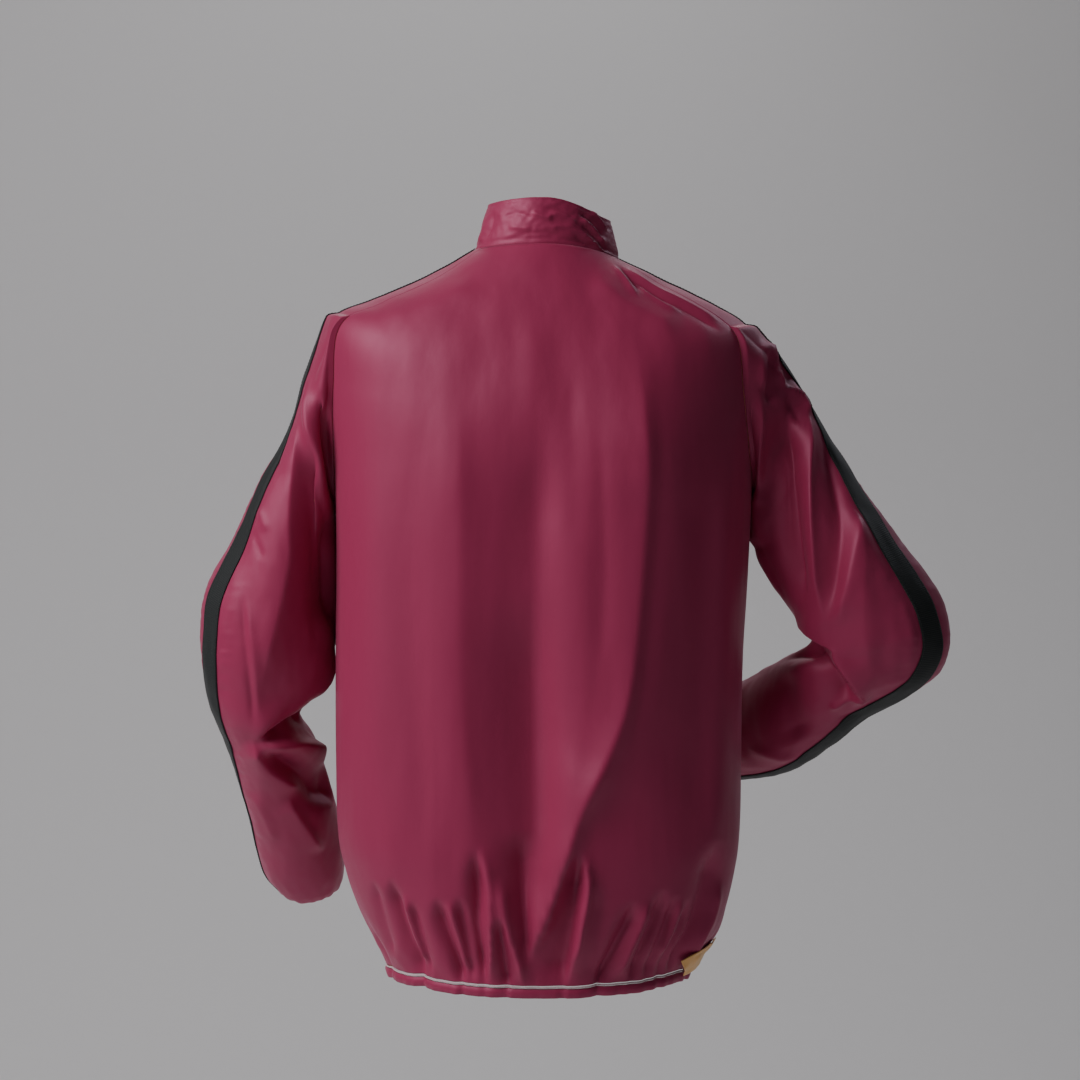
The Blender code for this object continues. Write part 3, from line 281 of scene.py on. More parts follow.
# Where the cuff's elastic lies above its end, how far its gathers reach, and how far in and up
# each row of its turned cloth lies.
CUFF_MIDDLE, CUFF_WIDTH = 12.0, 20.0
CUFF_TURN = ((1.2, -0.6), (3, 0.2), (3.8, 3), (4.2, 9), (4.4, 14))
SLEEVE_FOLDS = {
    "left": folds(0,
        # the inner side rests on the body
        ([(208, -224), (206, -262), (204, -330), (206, -398)], (7, 7), 5.6, 2),
    ) + folds(1,
        # the seam's own ridge, the hollow behind it, and the dark inner plane beside it
        ([(224, -112), (218, -168), (212, -208), (205, -250), (198, -288)],
         (3, 5.5, 6, 4), 9, 1.3),
        ([(214, -134), (206, -170), (202, -208), (198, -250)], (3, 6, 6, 4), -8, 1.4),
        ([(219, -170), (213, -214), (205, -262), (201, -314), (200, -374)],
         (7, 11, 14, 15, 14), -15, 1.5, -0.7),
        # the edge between the outer plane and the inner one
        ([(227, -136), (229, -185), (237, -247), (240, -297), (248, -337), (259, -380),
         (270, -436)], (12, 20, 26, 24), 13, 1.3, -0.35),
        # small creases beside the tape
        ([(251, -184), (249, -204), (248, -222)], (3, 3), -1.6, 1.4),
        ([(268, -246), (262, -258), (257, -270)], (3, 3), 1.8, 1.3),
        ([(274, -266), (266, -286), (260, -296)], (3, 3), -1.6, 1.3),
        ([(283, -322), (278, -390), (274, -456)], (3.5, 4), -2.2, 1.4),
        ([(277, -330), (272, -396), (270, -450)], (4, 4.5), 1.8, 1.5),
        # the upper sleeve hangs over the elbow, above a pale facet and a dark hollow
        ([(190, -374), (211, -406), (226, -425), (239, -440), (262, -455), (280, -470)],
         (10, 11, 9), 12, 1.4, -0.7),
        ([(212, -418), (231, -438), (252, -453), (268, -468)], (6, 7, 5), -12, 1.6),
        ([(274, -464), (255, -470), (236, -473), (214, -483), (198, -494)],
         (8, 11, 11, 8), 12, 1.5, -0.4),
        ([(272, -478), (248, -492), (226, -508), (206, -538)], (6, 12, 14, 12), -15, 1.6),
        ([(278, -464), (262, -494), (246, -508), (229, -520)], (9, 8, 5), 9, 1.3, -0.5),
        ([(248, -524), (236, -548), (216, -584)], (6, 8, 6), 5.5, 1.4, -0.4),
        ([(282, -520), (270, -548), (262, -574)], (6, 6), 2, 1.6),
    ) + folds(-1,
        # the front of the sleeve
        ([(228, -150), (232, -260), (244, -390)], (12, 16), -4),
        ([(258, -190), (272, -300), (286, -400)], (12, 14), 3.5),
        ([(302, -452), (270, -448), (238, -446)], (9, 8), -6.5, 1.6),
        ([(306, -472), (272, -474), (232, -462)], (7, 7), 4, 1.6),
        ([(300, -500), (262, -504), (222, -492)], (8, 8), -4.5, 1.6),
        ([(286, -560), (256, -566), (214, -556)], (7, 7), 3, 1.6),
    ),
    "right": folds(0,
        # the inner side rests on the body
        ([(-203, -226), (-203, -262), (-201, -286)], (7, 6), 5.4, 2),
    ) + folds(1,
        # the folds that fall from the armhole: ridge, dark plane, crisp ridge, dark plane, facet
        ([(-194, -140), (-193, -198), (-195, -276)], (5, 6), -7, 1.5),
        ([(-203, -134), (-204, -175), (-203, -230), (-206, -286)], (4, 6), 6, 1.3),
        ([(-231, -142), (-235, -190), (-236, -250), (-239, -300), (-246, -344)],
         (10, 17, 17, 12), -15, 1.5, -0.5),
        ([(-249, -138), (-252, -170), (-250, -208), (-250, -247), (-252, -281), (-256, -317),
         (-266, -354)], (6, 7, 7, 6), 8, 1.25, -0.3),
        ([(-266, -160), (-274, -204), (-280, -254), (-275, -306), (-267, -352)],
         (5, 8, 12, 11, 7), -8, 1.5, -0.4),
        ([(-297, -246), (-292, -272), (-285, -304), (-276, -356)], (6, 9, 8), 5, 1.4, 0.3),
        # small facets on the shoulder
        ([(-212, -84), (-209, -102), (-207, -120), (-206, -138)], (4, 4), 6, 1.3),
        ([(-214, -94), (-214, -120), (-212, -152)], (3, 6, 4), -6, 1.4),
        ([(-213, -84), (-220, -106), (-226, -126), (-232, -132)], (4, 4), 6.5, 1.2),
        ([(-224, -100), (-231, -116), (-236, -130)], (3, 5, 3), -6, 1.4),
        ([(-229, -133), (-240, -136), (-249, -144), (-252, -158)], (4, 4), 6, 1.2),
        ([(-228, -146), (-238, -150), (-244, -166)], (4, 6, 5), -4.5, 1.5),
        # the upper sleeve hangs over the elbow
        ([(-234, -348), (-258, -363), (-276, -378), (-280, -394), (-311, -433)],
         (12, 12, 8), 12, 1.35, 0.7),
        ([(-236, -364), (-256, -378), (-268, -398), (-297, -436)], (12, 8), -14, 1.5, -0.4),
        ([(-228, -396), (-234, -440), (-248, -474)], (18, 15), -6, 1.8),
        ([(-270, -438), (-291, -428), (-309, -427)], (5, 4), 7, 1.25),
        ([(-278, -450), (-296, -444), (-314, -444)], (5, 4), -4, 1.4),
        ([(-200, -480), (-226, -488), (-256, -488)], (6, 6), 2.6, 1.6),
        ([(-290, -236), (-298, -290), (-300, -350), (-310, -410)], (28, 38, 38, 26), 6.5, 1.3, 0.5),
        ([(-306, -300), (-318, -360), (-318, -410)], (8, 8), -1),
        ([(-334, -330), (-344, -370), (-340, -404)], (6, 6), 1),
    ) + folds(-1,
        # the front of the sleeve
        ([(-232, -150), (-240, -240), (-250, -330)], (10, 12), -4),
        ([(-262, -170), (-272, -260), (-276, -340)], (11, 12), 3.6),
        ([(-262, -376), (-300, -382), (-350, -404)], (7, 9), -5.5, 1.6),
        ([(-252, -396), (-292, -404), (-336, -424)], (6, 8), 4, 1.6),
        ([(-236, -414), (-262, -440), (-286, -470)], (7, 8), -4, 1.6),
        ([(-208, -430), (-222, -462), (-236, -500)], (6, 7), 3, 1.6),
    ),
}
COLLAR_FOLDS = folds(1,
    # short soft dents of the back
    ([(40, 28), (24, 31), (10, 25)], (2.6, 2.4), 1.2, 1.3),
    ([(34, 20), (22, 17), (10, 15)], (2.4, 2.2), -1.3, 1.25),
    ([(12, 32), (-2, 27), (-10, 26)], (2.6, 2.4), -2.4, 1.2),
    ([(2, 36), (-14, 33), (-32, 25)], (3, 2.6), 1.8, 1.25),
    ([(-4, 31), (-20, 28), (-34, 19)], (3, 2.6), -1.8, 1.3),
    ([(30, 9), (6, 12), (-18, 9)], (2.4, 2.4), 1, 1.4),
    ([(-2, 16), (-22, 18), (-40, 10)], (2.6, 2.4), -1.6, 1.3),
    # crisp diagonal pairs towards the right
    ([(-32, 33), (-46, 24), (-58, 8)], (2.2, 2), 3, 1.15),
    ([(-34, 28), (-47, 18), (-60, 2)], (2.2, 2), -3.4, 1.15),
    ([(-34, 22), (-48, 11), (-62, -5)], (2.2, 2), 3.2, 1.15),
    ([(-32, 15), (-48, 4), (-62, -9)], (2.2, 2), -3, 1.2),
    ([(-28, 10), (-44, 0), (-58, -8)], (2.2, 2), 2.2, 1.2),
    ([(-44, 36), (-54, 27), (-62, 16)], (2, 2), -2.6, 1.2),
    ([(-50, 34), (-58, 26), (-64, 16)], (2, 2), 2.2, 1.2),
    ([(46, 36), (50, 18), (58, 4)], (3.4, 3.4), 1.8, 1.4),
    ([(54, 34), (57, 18), (63, 6)], (3, 3), -1.8, 1.4),
) + folds(-1,
    # the front
    ([(20, -30), (38, -20), (52, 6)], (4, 4), 1.8, 1.4),
    ([(-22, -32), (-44, -22), (-60, 2)], (4, 4), 1.8, 1.4),
    ([(24, -48), (44, -36), (60, -16)], (4, 4), -1.8, 1.4),
    ([(-26, -50), (-50, -38), (-66, -20)], (4, 4), -1.8, 1.4),
)


# ------------------------------------------------------------------ sizes and colours
def length_property(name, about, default, low, high):
    """A size that is given in millimetres."""
    return FloatProperty(name=name, description=about, default=default * MM, min=low * MM,
                         max=high * MM, unit="LENGTH")


def count_property(name, about, default, low, high):
    """A number of cells or rows."""
    return IntProperty(name=name, description=about, default=default, min=low, max=high)


def colour_property(name, about, *rgb):
    """A colour as red, green and blue."""
    return FloatVectorProperty(name=name, description=about, subtype="COLOR", size=3, default=rgb,
                               min=0, max=1)


class JacketSizes(bpy.types.PropertyGroup):
    cloth: length_property("Cloth", "Thickness of the shell with its reverse", 0.7, 0.3, 1.2)
    seam: length_property("Seam", "How far each piece stops short of its seam line", 0.15, 0.1, 1.0)
    tape_lift: length_property("Tape lift", "Height of the tape off the sleeve", 0.3, 0.1, 1.0)
    fineness: count_property("Fineness", "Cells of cloth between two seam stations", 7, 2, 8)
    sleeve_fineness: count_property("Sleeve fineness", "Cells between a sleeve's stations", 9, 2, 9)
    hem_rows: count_property("Hem rows", "Rows of cloth from the chest to the hem", 150, 20, 220)
    sleeve_rows: count_property("Sleeve rows", "Rows of cloth down a sleeve", 232, 40, 300)
    fold_depth: FloatProperty(name="Fold depth", description="Share of the full depth of all folds",
                              default=1.0, min=0.0, max=1.5, subtype="FACTOR")
    tooth: length_property("Tooth spacing", "Distance between two zip teeth", 2.0, 1.5, 4.0)
    stitch: length_property("Stitch spacing", "Distance between two stitches", 3.2, 2.0, 6.0)


class JacketColours(bpy.types.PropertyGroup):
    shell: colour_property("Shell", "Colour of the satin shell", 0.35, 0.030, 0.092)
    reverse: colour_property("Reverse", "Colour of the cloth's other side", 0.84, 0.46, 0.16)
    piping: colour_property("Piping", "Colour of the hem piping", 0.80, 0.64, 0.66)
    tape: colour_property("Tape", "Colour of the sleeve tape", 0.008, 0.012, 0.012)
    thread: colour_property("Thread", "Colour of the sleeve tape's stitches", 0.012, 0.016, 0.016)
    zip_tape: colour_property("Zip tape", "Colour of the zip's woven tape", 0.035, 0.008, 0.014)
    metal: colour_property("Zip metal", "Colour of the teeth and the slider", 0.55, 0.55, 0.56)
    backdrop: colour_property("Backdrop", "Colour of the floor and the sweep", 0.78, 0.78, 0.78)
    key_power: FloatProperty(name="Key light", description="Power of the main soft light",
                             default=116.0, min=0.0, max=400.0, unit="POWER")


def sizes():
    return bpy.context.scene.jacket_sizes


def colours():
    return bpy.context.scene.jacket_colours


# ------------------------------------------------------------------ finishes
class Socket:
    """A node's socket that takes part in Python arithmetic."""

    def __init__(self, tree, link):
        self.tree, self.link = tree, link

    def maths(self, operation, *values):
        return add_node(self.tree, "ShaderNodeMath", {"operation": operation},
                        dict(enumerate(values)))

    def __add__(self, other):
        return self.maths("ADD", self, other)

    def __sub__(self, other):
        return self.maths("SUBTRACT", self, other)

    def __rsub__(self, other):
        return self.maths("SUBTRACT", other, self)

    def __mul__(self, other):
        return self.maths("MULTIPLY", self, other)

    def sine(self):
        return self.maths("SINE", self)

    __radd__, __rmul__ = __add__, __mul__


def add_node(tree, kind, settings=None, values=None, output=0):
    """Any node: its settings first, then the values or links of its sockets."""
    node = tree.nodes.new(kind)
    for key, value in (settings or {}).items():
        setattr(node, key, value)
    for key, value in (values or {}).items():
        if isinstance(value, Socket):
            tree.links.new(value.link, node.inputs[key])
        else:
            node.inputs[key].default_value = value
    return Socket(tree, node.outputs[output] if node.outputs else None)


class Finish:
    """A material in the making, with its Principled shader."""

    def __init__(self, name, **fixed):
        self.material = bpy.data.materials.new(name)
        self.material.use_nodes = True
        self.tree = self.material.node_tree
        self.shader = self.tree.nodes["Principled BSDF"]
        for key, value in fixed.items():
            self.shader.inputs[key.replace("_", " ")].default_value = value

    def node(self, kind, settings=None, values=None, output=0):
        return add_node(self.tree, kind, settings, values, output)

    def uv(self, scale):
        """The cloth's own map, in metres, stretched to the pattern's repeats."""
        place = self.node("ShaderNodeUVMap", {"uv_map": "cut"})
        return self.node("ShaderNodeMapping", None, {"Vector": place, "Scale": scale})

    def place(self, scale):
        where = self.node("ShaderNodeTexCoord", output="Object")
        return self.node("ShaderNodeMapping", None, {"Vector": where, "Scale": scale})

    def clouds(self, vector, scale, detail=3.0, rough=0.5):
        return self.node("ShaderNodeTexNoise", None,
                         {"Vector": vector, "Scale": scale, "Detail": detail, "Roughness": rough})

    def range(self, value, low, high):
        return self.node("ShaderNodeMapRange", None,
                         {"Value": value, "To Min": low, "To Max": high})

    def blend(self, share, first, second):
        return self.node("ShaderNodeMix", {"data_type": "RGBA"},
                         {0: share, 6: first, 7: second}, output=2)

    def split(self, vector):
        """The first two parts of a vector, each a socket."""
        first = self.node("ShaderNodeSeparateXYZ", None, {0: vector})
        return first, Socket(self.tree, first.link.node.outputs[1])

    def bump(self, height, distance, strength=1.0, **below):
        values = {"Height": height, "Distance": distance, "Strength": strength, **below}
        return self.node("ShaderNodeBump", None, values)

    def feed(self, **links):
        for key, value in links.items():
            self.tree.links.new(value.link, self.shader.inputs[key.replace("_", " ")])
        return self.material


def shade(colour, factor):
    return (*(min(c * factor, 1.0) for c in colour), 1.0)


def woven_bump(finish, threads, distance, below):
    """Threads over and under each other, on the cloth's own map."""
    across, along = finish.split(finish.uv((threads, threads, 1)))
    return finish.bump((across * TURN).sine() * (along * TURN).sine(), distance, Normal=below)


def satin(name, colour, rough, sheen_tint):
    """Glossy woven cloth with slight waves that the light picks up."""
    finish = Finish(name, Sheen_Weight=0.16, Sheen_Roughness=0.4, Sheen_Tint=sheen_tint,
                    Specular_IOR_Level=0.65, Specular_Tint=sheen_tint)
    waves = finish.clouds(finish.place((1.0, 1.0, 0.32)), 34.0, 2.0, 0.45)
    crinkle = finish.clouds(finish.place((1.0, 1.0, 0.8)), 120.0, 3.0, 0.55)
    tone = finish.clouds(finish.place((1.0, 1.0, 0.25)), 11.0, 2.0)
    slub = finish.clouds(finish.uv((1400.0, 60.0, 1)), 1.0, 2.0)
    base = finish.blend(tone, shade(colour, 0.9), shade(colour, 1.1))
    base = finish.blend(finish.range(slub, 0.0, 0.16), base, shade(colour, 1.35))
    roughness = finish.range(crinkle, rough - 0.03, rough + 0.03)
    soft = finish.bump(waves, 0.0011, 0.55)
    fine = finish.bump(crinkle, 0.00022, 0.5, Normal=soft)
    return finish.feed(Base_Color=base, Roughness=roughness,
                       Normal=woven_bump(finish, 1800.0, 0.00001, fine))


def ribbed(name, colour, ribs, rough, distance):
    """A narrow woven trim with ribs across it, with a painted highlight on the ribs' crests and
    painted shade in the grooves between them.
    """
    finish = Finish(name, Sheen_Weight=0.08, Specular_IOR_Level=0.4)
    where = finish.uv((ribs, ribs, 1))
    across, along = finish.split(where)
    rib = (along * TURN + (across * TURN).sine() * 0.6).sine()
    fuzz = finish.clouds(where, 3.0, 2.0)
    # painted highlight on the rib crests and painted shade in the grooves, following the same ribs
    # as the bump
    base = finish.blend(finish.range(rib, 0.0, 0.6), shade(colour, 0.7), shade(colour, 1.9))
    return finish.feed(Base_Color=base, Roughness=finish.range(fuzz, rough - 0.08, rough + 0.08),
                       Normal=finish.bump(rib * 0.5 + fuzz * 0.3, distance))


def corded(name, colour):
    """A twisted cord: strands that wind round it."""
    finish = Finish(name, Sheen_Weight=0.15)
    along, across = finish.split(finish.uv((900.0, 450.0, 1)))
    strand = ((along + across) * TURN).sine()
    fuzz = finish.clouds(finish.place((1, 1, 1)), 900.0, 2.0)
    base = finish.blend(finish.range(fuzz, 0.0, 0.7), shade(colour, 0.82), shade(colour, 1.08))
    return finish.feed(Base_Color=base, Roughness=finish.range(fuzz, 0.45, 0.65),
                       Normal=finish.bump(strand, 0.0001))


def brushed(name, colour):
    """Worn plated metal with fine scratches along it."""
    finish = Finish(name, Metallic=1.0)
    scratches = finish.clouds(finish.place((1.0, 1.0, 0.06)), 5200.0, 3.0, 0.6)
    wear = finish.clouds(finish.place((1, 1, 1)), 420.0, 3.0)
    base = finish.blend(wear, shade(colour, 0.8), shade(colour, 1.1))
    return finish.feed(Base_Color=base, Roughness=finish.range(scratches, 0.2, 0.42),
                       Normal=finish.bump(scratches, 0.00002))


def plain_paper(name, colour):
    """Matt paper with a faint grain."""
    finish = Finish(name, Specular_IOR_Level=0.2)
    grain = finish.clouds(finish.place((1, 1, 1)), 40.0, 4.0)
    base = finish.blend(grain, shade(colour, 0.99), shade(colour, 1.01))
    return finish.feed(Base_Color=base, Roughness=finish.range(grain, 0.85, 0.95))


def finish_named(name):
    """Makes a finish the first time it is asked for."""
    if name in bpy.data.materials:
        return bpy.data.materials[name]
    c = colours()
    makers = {
        "Maroon satin": lambda: satin(name, c.shell, 0.48, (1.0, 0.52, 0.7, 1.0)),
        "Ochre reverse": lambda: satin(name, c.reverse, 0.46, (1.0, 0.86, 0.66, 1.0)),
        "Pale piping": lambda: corded(name, c.piping),
        "Black sleeve tape": lambda: ribbed(name, c.tape, 520.0, 0.62, 0.00016),
        "Zip tape": lambda: ribbed(name, c.zip_tape, 900.0, 0.75, 0.00008),
        "Tape thread": lambda: corded(name, c.thread),
        "Zip metal": lambda: brushed(name, c.metal),
        "Studio paper": lambda: plain_paper(name, c.backdrop),
    }
    return makers[name]()


# ------------------------------------------------------------------ curves and surfaces
def read_rows(table, at):
    """A smooth curve through the table's rows, read at fractional row numbers."""
    table = np.asarray(table, float)
    padded = np.concatenate([2 * table[:1] - table[1:2], table, 2 * table[-1:] - table[-2:-1]])
    at = np.clip(np.asarray(at, float), 0, len(table) - 1)
    i = np.minimum(at.astype(int), len(table) - 2)
    f = (at - i).reshape(at.shape + (1,) * (table.ndim - 1))
    a, b, c, d = (padded[i + k] for k in range(4))
    return b + 0.5 * f * ((c - a) + f * ((2 * a - 5 * b + 4 * c - d) + f * (3 * (b - c) + d - a)))


def refine(table, cells):
    """The table's rows with so many cells between any two of them."""
    steps = len(table) - 1
    return read_rows(table, np.linspace(0, steps, cells * steps + 1))


def section_at(table, row):
    """The measures of a section of the body or the collar at a fractional row number."""
    return Section(*np.moveaxis(read_rows(table, row), -1, 0))


def ring_point(table, angle, row, turn=2.0):
    """A point on a section of the body or the collar, at an angle in degrees."""
    s = section_at(table, row)
    sin, cos = np.sin(np.radians(angle)), np.cos(np.radians(angle))
    x = np.sign(sin) * np.where(sin > 0, s.left, s.right) * np.abs(sin) ** (2 / s.power)
    y = np.sign(cos) * np.where(cos > 0, s.back, s.front) * np.abs(cos) ** (2 / s.power)
    z_end = np.where(cos > 0, s.z_back, s.z_front)
    z_side = np.where(sin > 0, s.z_left, s.z_right)
    return np.stack([x, y, z_side + (z_end - z_side) * np.abs(cos) ** turn], axis=-1)


def smooth_step(t):
    """Rises from 0 to 1 as t does, level at both ends."""
    t = np.clip(t, 0, 1)
    return t * t * (3 - 2 * t)


def unit(vectors):
    """The same directions, each one long."""
    return vectors / np.linalg.norm(vectors, axis=-1, keepdims=True)


def fold_height(fold, x, z):
    """The rise of a ridge, or the fall of a trough, beside its line; it fades at both ends."""
    line = read_rows(fold.line, np.linspace(0, len(fold.line) - 1, FOLD_POINTS))
    reach = FOLD_REACH * max(fold.width)
    low, high = line.min(axis=0) - reach, line.max(axis=0) + reach
    near = (x > low[0]) & (x < high[0]) & (z > low[1]) & (z < high[1])
    total = np.zeros_like(x)
    if not near.any():
        return total
    px, pz = x[near][:, None], z[near][:, None]
    start, run = line[:-1], np.diff(line, axis=0)
    length = np.hypot(run[:, 0], run[:, 1])
    way = run / length[:, None]
    dx, dz = px - start[:, 0], pz - start[:, 1]
    along = np.clip(dx * way[:, 0] + dz * way[:, 1], 0, length)
    gap = np.hypot(dx - along * way[:, 0], dz - along * way[:, 1])
    pick = np.argmin(gap, axis=1)
    rows = np.arange(len(pick))
    sided = np.sign((dx * way[:, 1] - dz * way[:, 0])[rows, pick])
    done = np.concatenate([[0], np.cumsum(length)])
    share = (done[:-1][pick] + along[rows, pick]) / done[-1]
    width = read_rows(fold.width, share * (len(fold.width) - 1)) * (1 + fold.skew * sided)
    ends = smooth_step(share / FOLD_RISE) * smooth_step((1 - share) / FOLD_FADE)
    q = gap[rows, pick] / width
    total[near] = fold.depth * np.exp(-q ** fold.power) * ends * sizes().fold_depth
    return total


def crinkle(points, wave, seed):
    """Smooth noise between -1 and 1 at each point, in waves of a size in millimetres."""
    flat = points.reshape(-1, 3) / np.asarray(wave, float)
    values = [noise.noise(Vector((p[0] + seed, p[1] - seed, p[2]))) for p in flat]
    return np.array(values).reshape(points.shape[:-1])


def gather_height(angle, z):
    """The gathers above the hem seam at the sides and the front."""
    up = z - BODY[-1][1]
    total = np.zeros_like(up)
    for g in SIDE_GATHERS:
        share = np.clip(up / g.rise, 0, 1)
        turned = (angle - g.angle - g.lean * share + 180) % 360 - 180
        across = np.radians(turned) * HEM_RADIUS
        width = g.width * (1 + 0.8 * share)
        swell = 0.35 + 0.65 * smooth_step(up / GATHER_SWELL)
        total -= g.depth * np.exp(-(across / width) ** 2) * swell * (1 - smooth_step(share))
    return total * sizes().fold_depth


def surface_normals(table, angle, row, turn=2.0):
    """The direction straight out of a plain section, from points close by."""
    last = len(table) - 1.0
    across = ring_point(table, angle + 0.5, row, turn) - ring_point(table, angle - 0.5, row, turn)
    low, high = np.minimum(row + 0.05, last), np.maximum(row - 0.05, 0)
    down = ring_point(table, angle, low, turn) - ring_point(table, angle, high, turn)
    return unit(np.cross(across, down))


def body_surface(angle, row):
    """The body's outer surface with its folds, gathers and crinkles."""
    angle, row = np.broadcast_arrays(np.asarray(angle, float), np.asarray(row, float))
    base = ring_point(BODY, angle, row)
    normal = surface_normals(BODY, angle, row)
    x, y, z = np.moveaxis(base, -1, 0)
    height = gather_height(angle, z)
    share = smooth_step(np.abs(y) / SIDE_FADE)
    for fold in BODY_FOLDS:
        height = height + fold_height(fold, x, z) * share * (np.sign(y) == fold.face)
    hem = smooth_step((row - CRINKLED_ROW) / 2.0)
    for wave, seed, rise, more in ((26, 26, 95), 3.1, 0.9, 0.8), ((9, 9, 26), 8.4, 0.12, 0.55):
        height = height + crinkle(base, wave, seed) * (rise + more * hem)
    sewn = smooth_step((row + 0.05) / 0.8)
    return base + normal * (height * sewn)[..., None]


def zip_angle(table, row, side):
    """The angle at which a front edge lies half a zip's width from the middle."""
    section = section_at(table, row)
    share = (ZIP_HALF / getattr(section, side)) ** (section.power / 2)
    return SIDES[side] * (180 - np.degrees(np.arcsin(share)))


def side_angle(row, side):
    """The side seam's angle, which slips forward or back a little towards the hem."""
    share = smooth_step((row - UNDERARM_ROW) / (HEM_ROW - UNDERARM_ROW))
    return SIDES[side] * (90 + (SIDE_SEAM_AT_HEM[side] - 90) * share)


# ------------------------------------------------------------------ panels of the body
def seam_stations(seams, side, cells):
    """A seam's angles on the back, and its rows."""
    return refine([(getattr(seam, "back_" + side), seam.row) for seam in seams], cells)


def outer_edge(face, side, cells):
    """Half a panel's outer edge: down the shoulder seam, the armhole and the side to the chest."""
    sewn = [seam_stations(SADDLE, side, cells), seam_stations(ARMHOLE, side, cells)[1:]]
    angle, row = np.vstack(sewn).T
    angle = SIDES[side] * (angle if face == "back" else 180 - angle)
    below = np.linspace(UNDERARM_ROW, CHEST_ROW, 2 * cells + 1)[1:]
    return np.concatenate([angle, side_angle(below, side)]), np.concatenate([row, below])


def half_panel(face, side):
    """Half a panel's points, from its centre line to its side, row by row."""
    cells = sizes().fineness
    outer_angle, outer_row = outer_edge(face, side, cells)
    below = np.linspace(CHEST_ROW, HEM_ROW, sizes().hem_rows + 1)[1:]
    centre_row = np.concatenate([np.linspace(0, CHEST_ROW, len(outer_row)), below])
    edge_angle = np.concatenate([outer_angle, side_angle(below, side)])
    edge_row = np.concatenate([outer_row, below])
    centre = np.zeros(len(centre_row)) if face == "back" else zip_angle(BODY, centre_row, side)
    u = np.linspace(0, 1, PANEL_STATIONS[face] * cells + 1)
    return body_surface(centre[:, None] + (edge_angle - centre)[:, None] * u,
                        centre_row[:, None] + (edge_row - centre_row)[:, None] * u)


def body_grids():
    """The three panels of the body, each a grid of points from the neck down."""
    left, right = half_panel("back", "left"), half_panel("back", "right")
    return {
        "back_panel": np.concatenate([right[:, ::-1], left[:, 1:]], axis=1),
        "front_left": half_panel("front", "left")[:, ::-1],
        "front_right": half_panel("front", "right"),
    }


def hem_line(panels):
    """The hem seam from the right zip edge round the back to the left zip edge."""
    right, back, left = (panels[name][-1] for name in ("front_right", "back_panel", "front_left"))
    return np.vstack([right[:-1], back, left[1:]])


# ------------------------------------------------------------------ cloth
# A grid's edges, each with the row or column inside it.
EDGES = {"top": (np.s_[0], np.s_[1]), "foot": (np.s_[-1], np.s_[-2]),
         "first": (np.s_[:, 0], np.s_[:, 1]), "last": (np.s_[:, -1], np.s_[:, -2])}


def pull_in(grid, edges, amount):
    """Moves the edge points of a panel in from its seam lines."""
    moves = []
    for name in edges:
        edge, inner = EDGES[name]
        run = unit(np.gradient(grid[edge], axis=0))
        way = grid[inner] - grid[edge]
        way -= run * np.sum(way * run, axis=-1, keepdims=True)
        reach = np.maximum(np.linalg.norm(way, axis=-1, keepdims=True), 1e-6)
        moves.append((edge, way * (amount / reach)))
    grid = grid.copy()
    for edge, move in moves:
        grid[edge] += move
    return grid


def grid_faces(rows, columns, closed=False, base=0):
    """Quads between rows of points; a closed grid joins its last column to its first."""
    last = columns if closed else columns - 1
    r, c = np.meshgrid(np.arange(rows - 1), np.arange(last), indexing="ij")
    a = base + r * columns + c
    b = base + r * columns + (c + 1) % columns
    return np.stack([a, b, b + columns, a + columns], axis=-1).reshape(-1, 4)


def grid_map(grid):
    """The cloth's own map in metres: along each row from its middle, and down each column."""
    across = np.linalg.norm(np.diff(grid, axis=1), axis=-1)
    u = np.concatenate([np.zeros((len(grid), 1)), np.cumsum(across, axis=1)], axis=1)
    u -= u[:, u.shape[1] // 2][:, None]
    down = np.linalg.norm(np.diff(grid, axis=0), axis=-1).mean(axis=1)
    v = np.concatenate([[0], np.cumsum(down)])
    return np.stack([u, np.repeat(v[:, None], grid.shape[1], axis=1)], axis=-1) * MM


def new_piece(name, points, faces, uv, finishes):
    """A mesh piece at the origin, with its map and its finishes."""
    mesh = bpy.data.meshes.new(name)
    mesh.from_pydata((points.reshape(-1, 3) * MM).tolist(), [],
                     faces if isinstance(faces, list) else faces.tolist())
    layer = mesh.uv_layers.new(name="cut")
    corners = np.zeros(len(mesh.loops), dtype=np.int64)
    mesh.loops.foreach_get("vertex_index", corners)
    layer.data.foreach_set("uv", uv.reshape(-1, 2)[corners].ravel())
    for finish in finishes:
        mesh.materials.append(finish_named(finish))
    mesh.shade_smooth()
    return placed(name, mesh)


def placed(name, data):
    """A new object at the origin of the scene."""
    item = bpy.data.objects.new(name, data)
    bpy.context.scene.collection.objects.link(item)
    return item


def give_wall(piece, thickness, outward=False):
    """The cloth's thickness; the inner face takes the last of the piece's finishes."""
    wall = piece.modifiers.new("Cloth wall", "SOLIDIFY")
    wall.thickness = thickness
    wall.offset = 1.0 if outward else -1.0
    wall.use_rim = True
    wall.material_offset = len(piece.data.materials) - 1
    wall.material_offset_rim = 0


def plain_mesh(piece):
    """Turns a piece with modifiers into a plain mesh."""
    seen = piece.evaluated_get(bpy.context.evaluated_depsgraph_get())
    made = bpy.data.meshes.new_from_object(seen)
    piece.modifiers.clear()
    piece.data = made
    made.name = piece.name


def sew(piece, node):
    """The piece moves with the jacket and stands for its node, which is hidden."""
    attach(piece, "jacket")
    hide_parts(node)


def sewn_sheet(name, grid, node, finishes, thickness, outward=False, turned=False):
    """A sheet of cloth with its wall, sewn into the jacket."""
    faces = grid_faces(*grid.shape[:2])
    piece = new_piece(name, grid, faces[:, ::-1] if turned else faces, grid_map(grid), finishes)
    give_wall(piece, thickness, outward)
    sew(piece, node)
    return piece


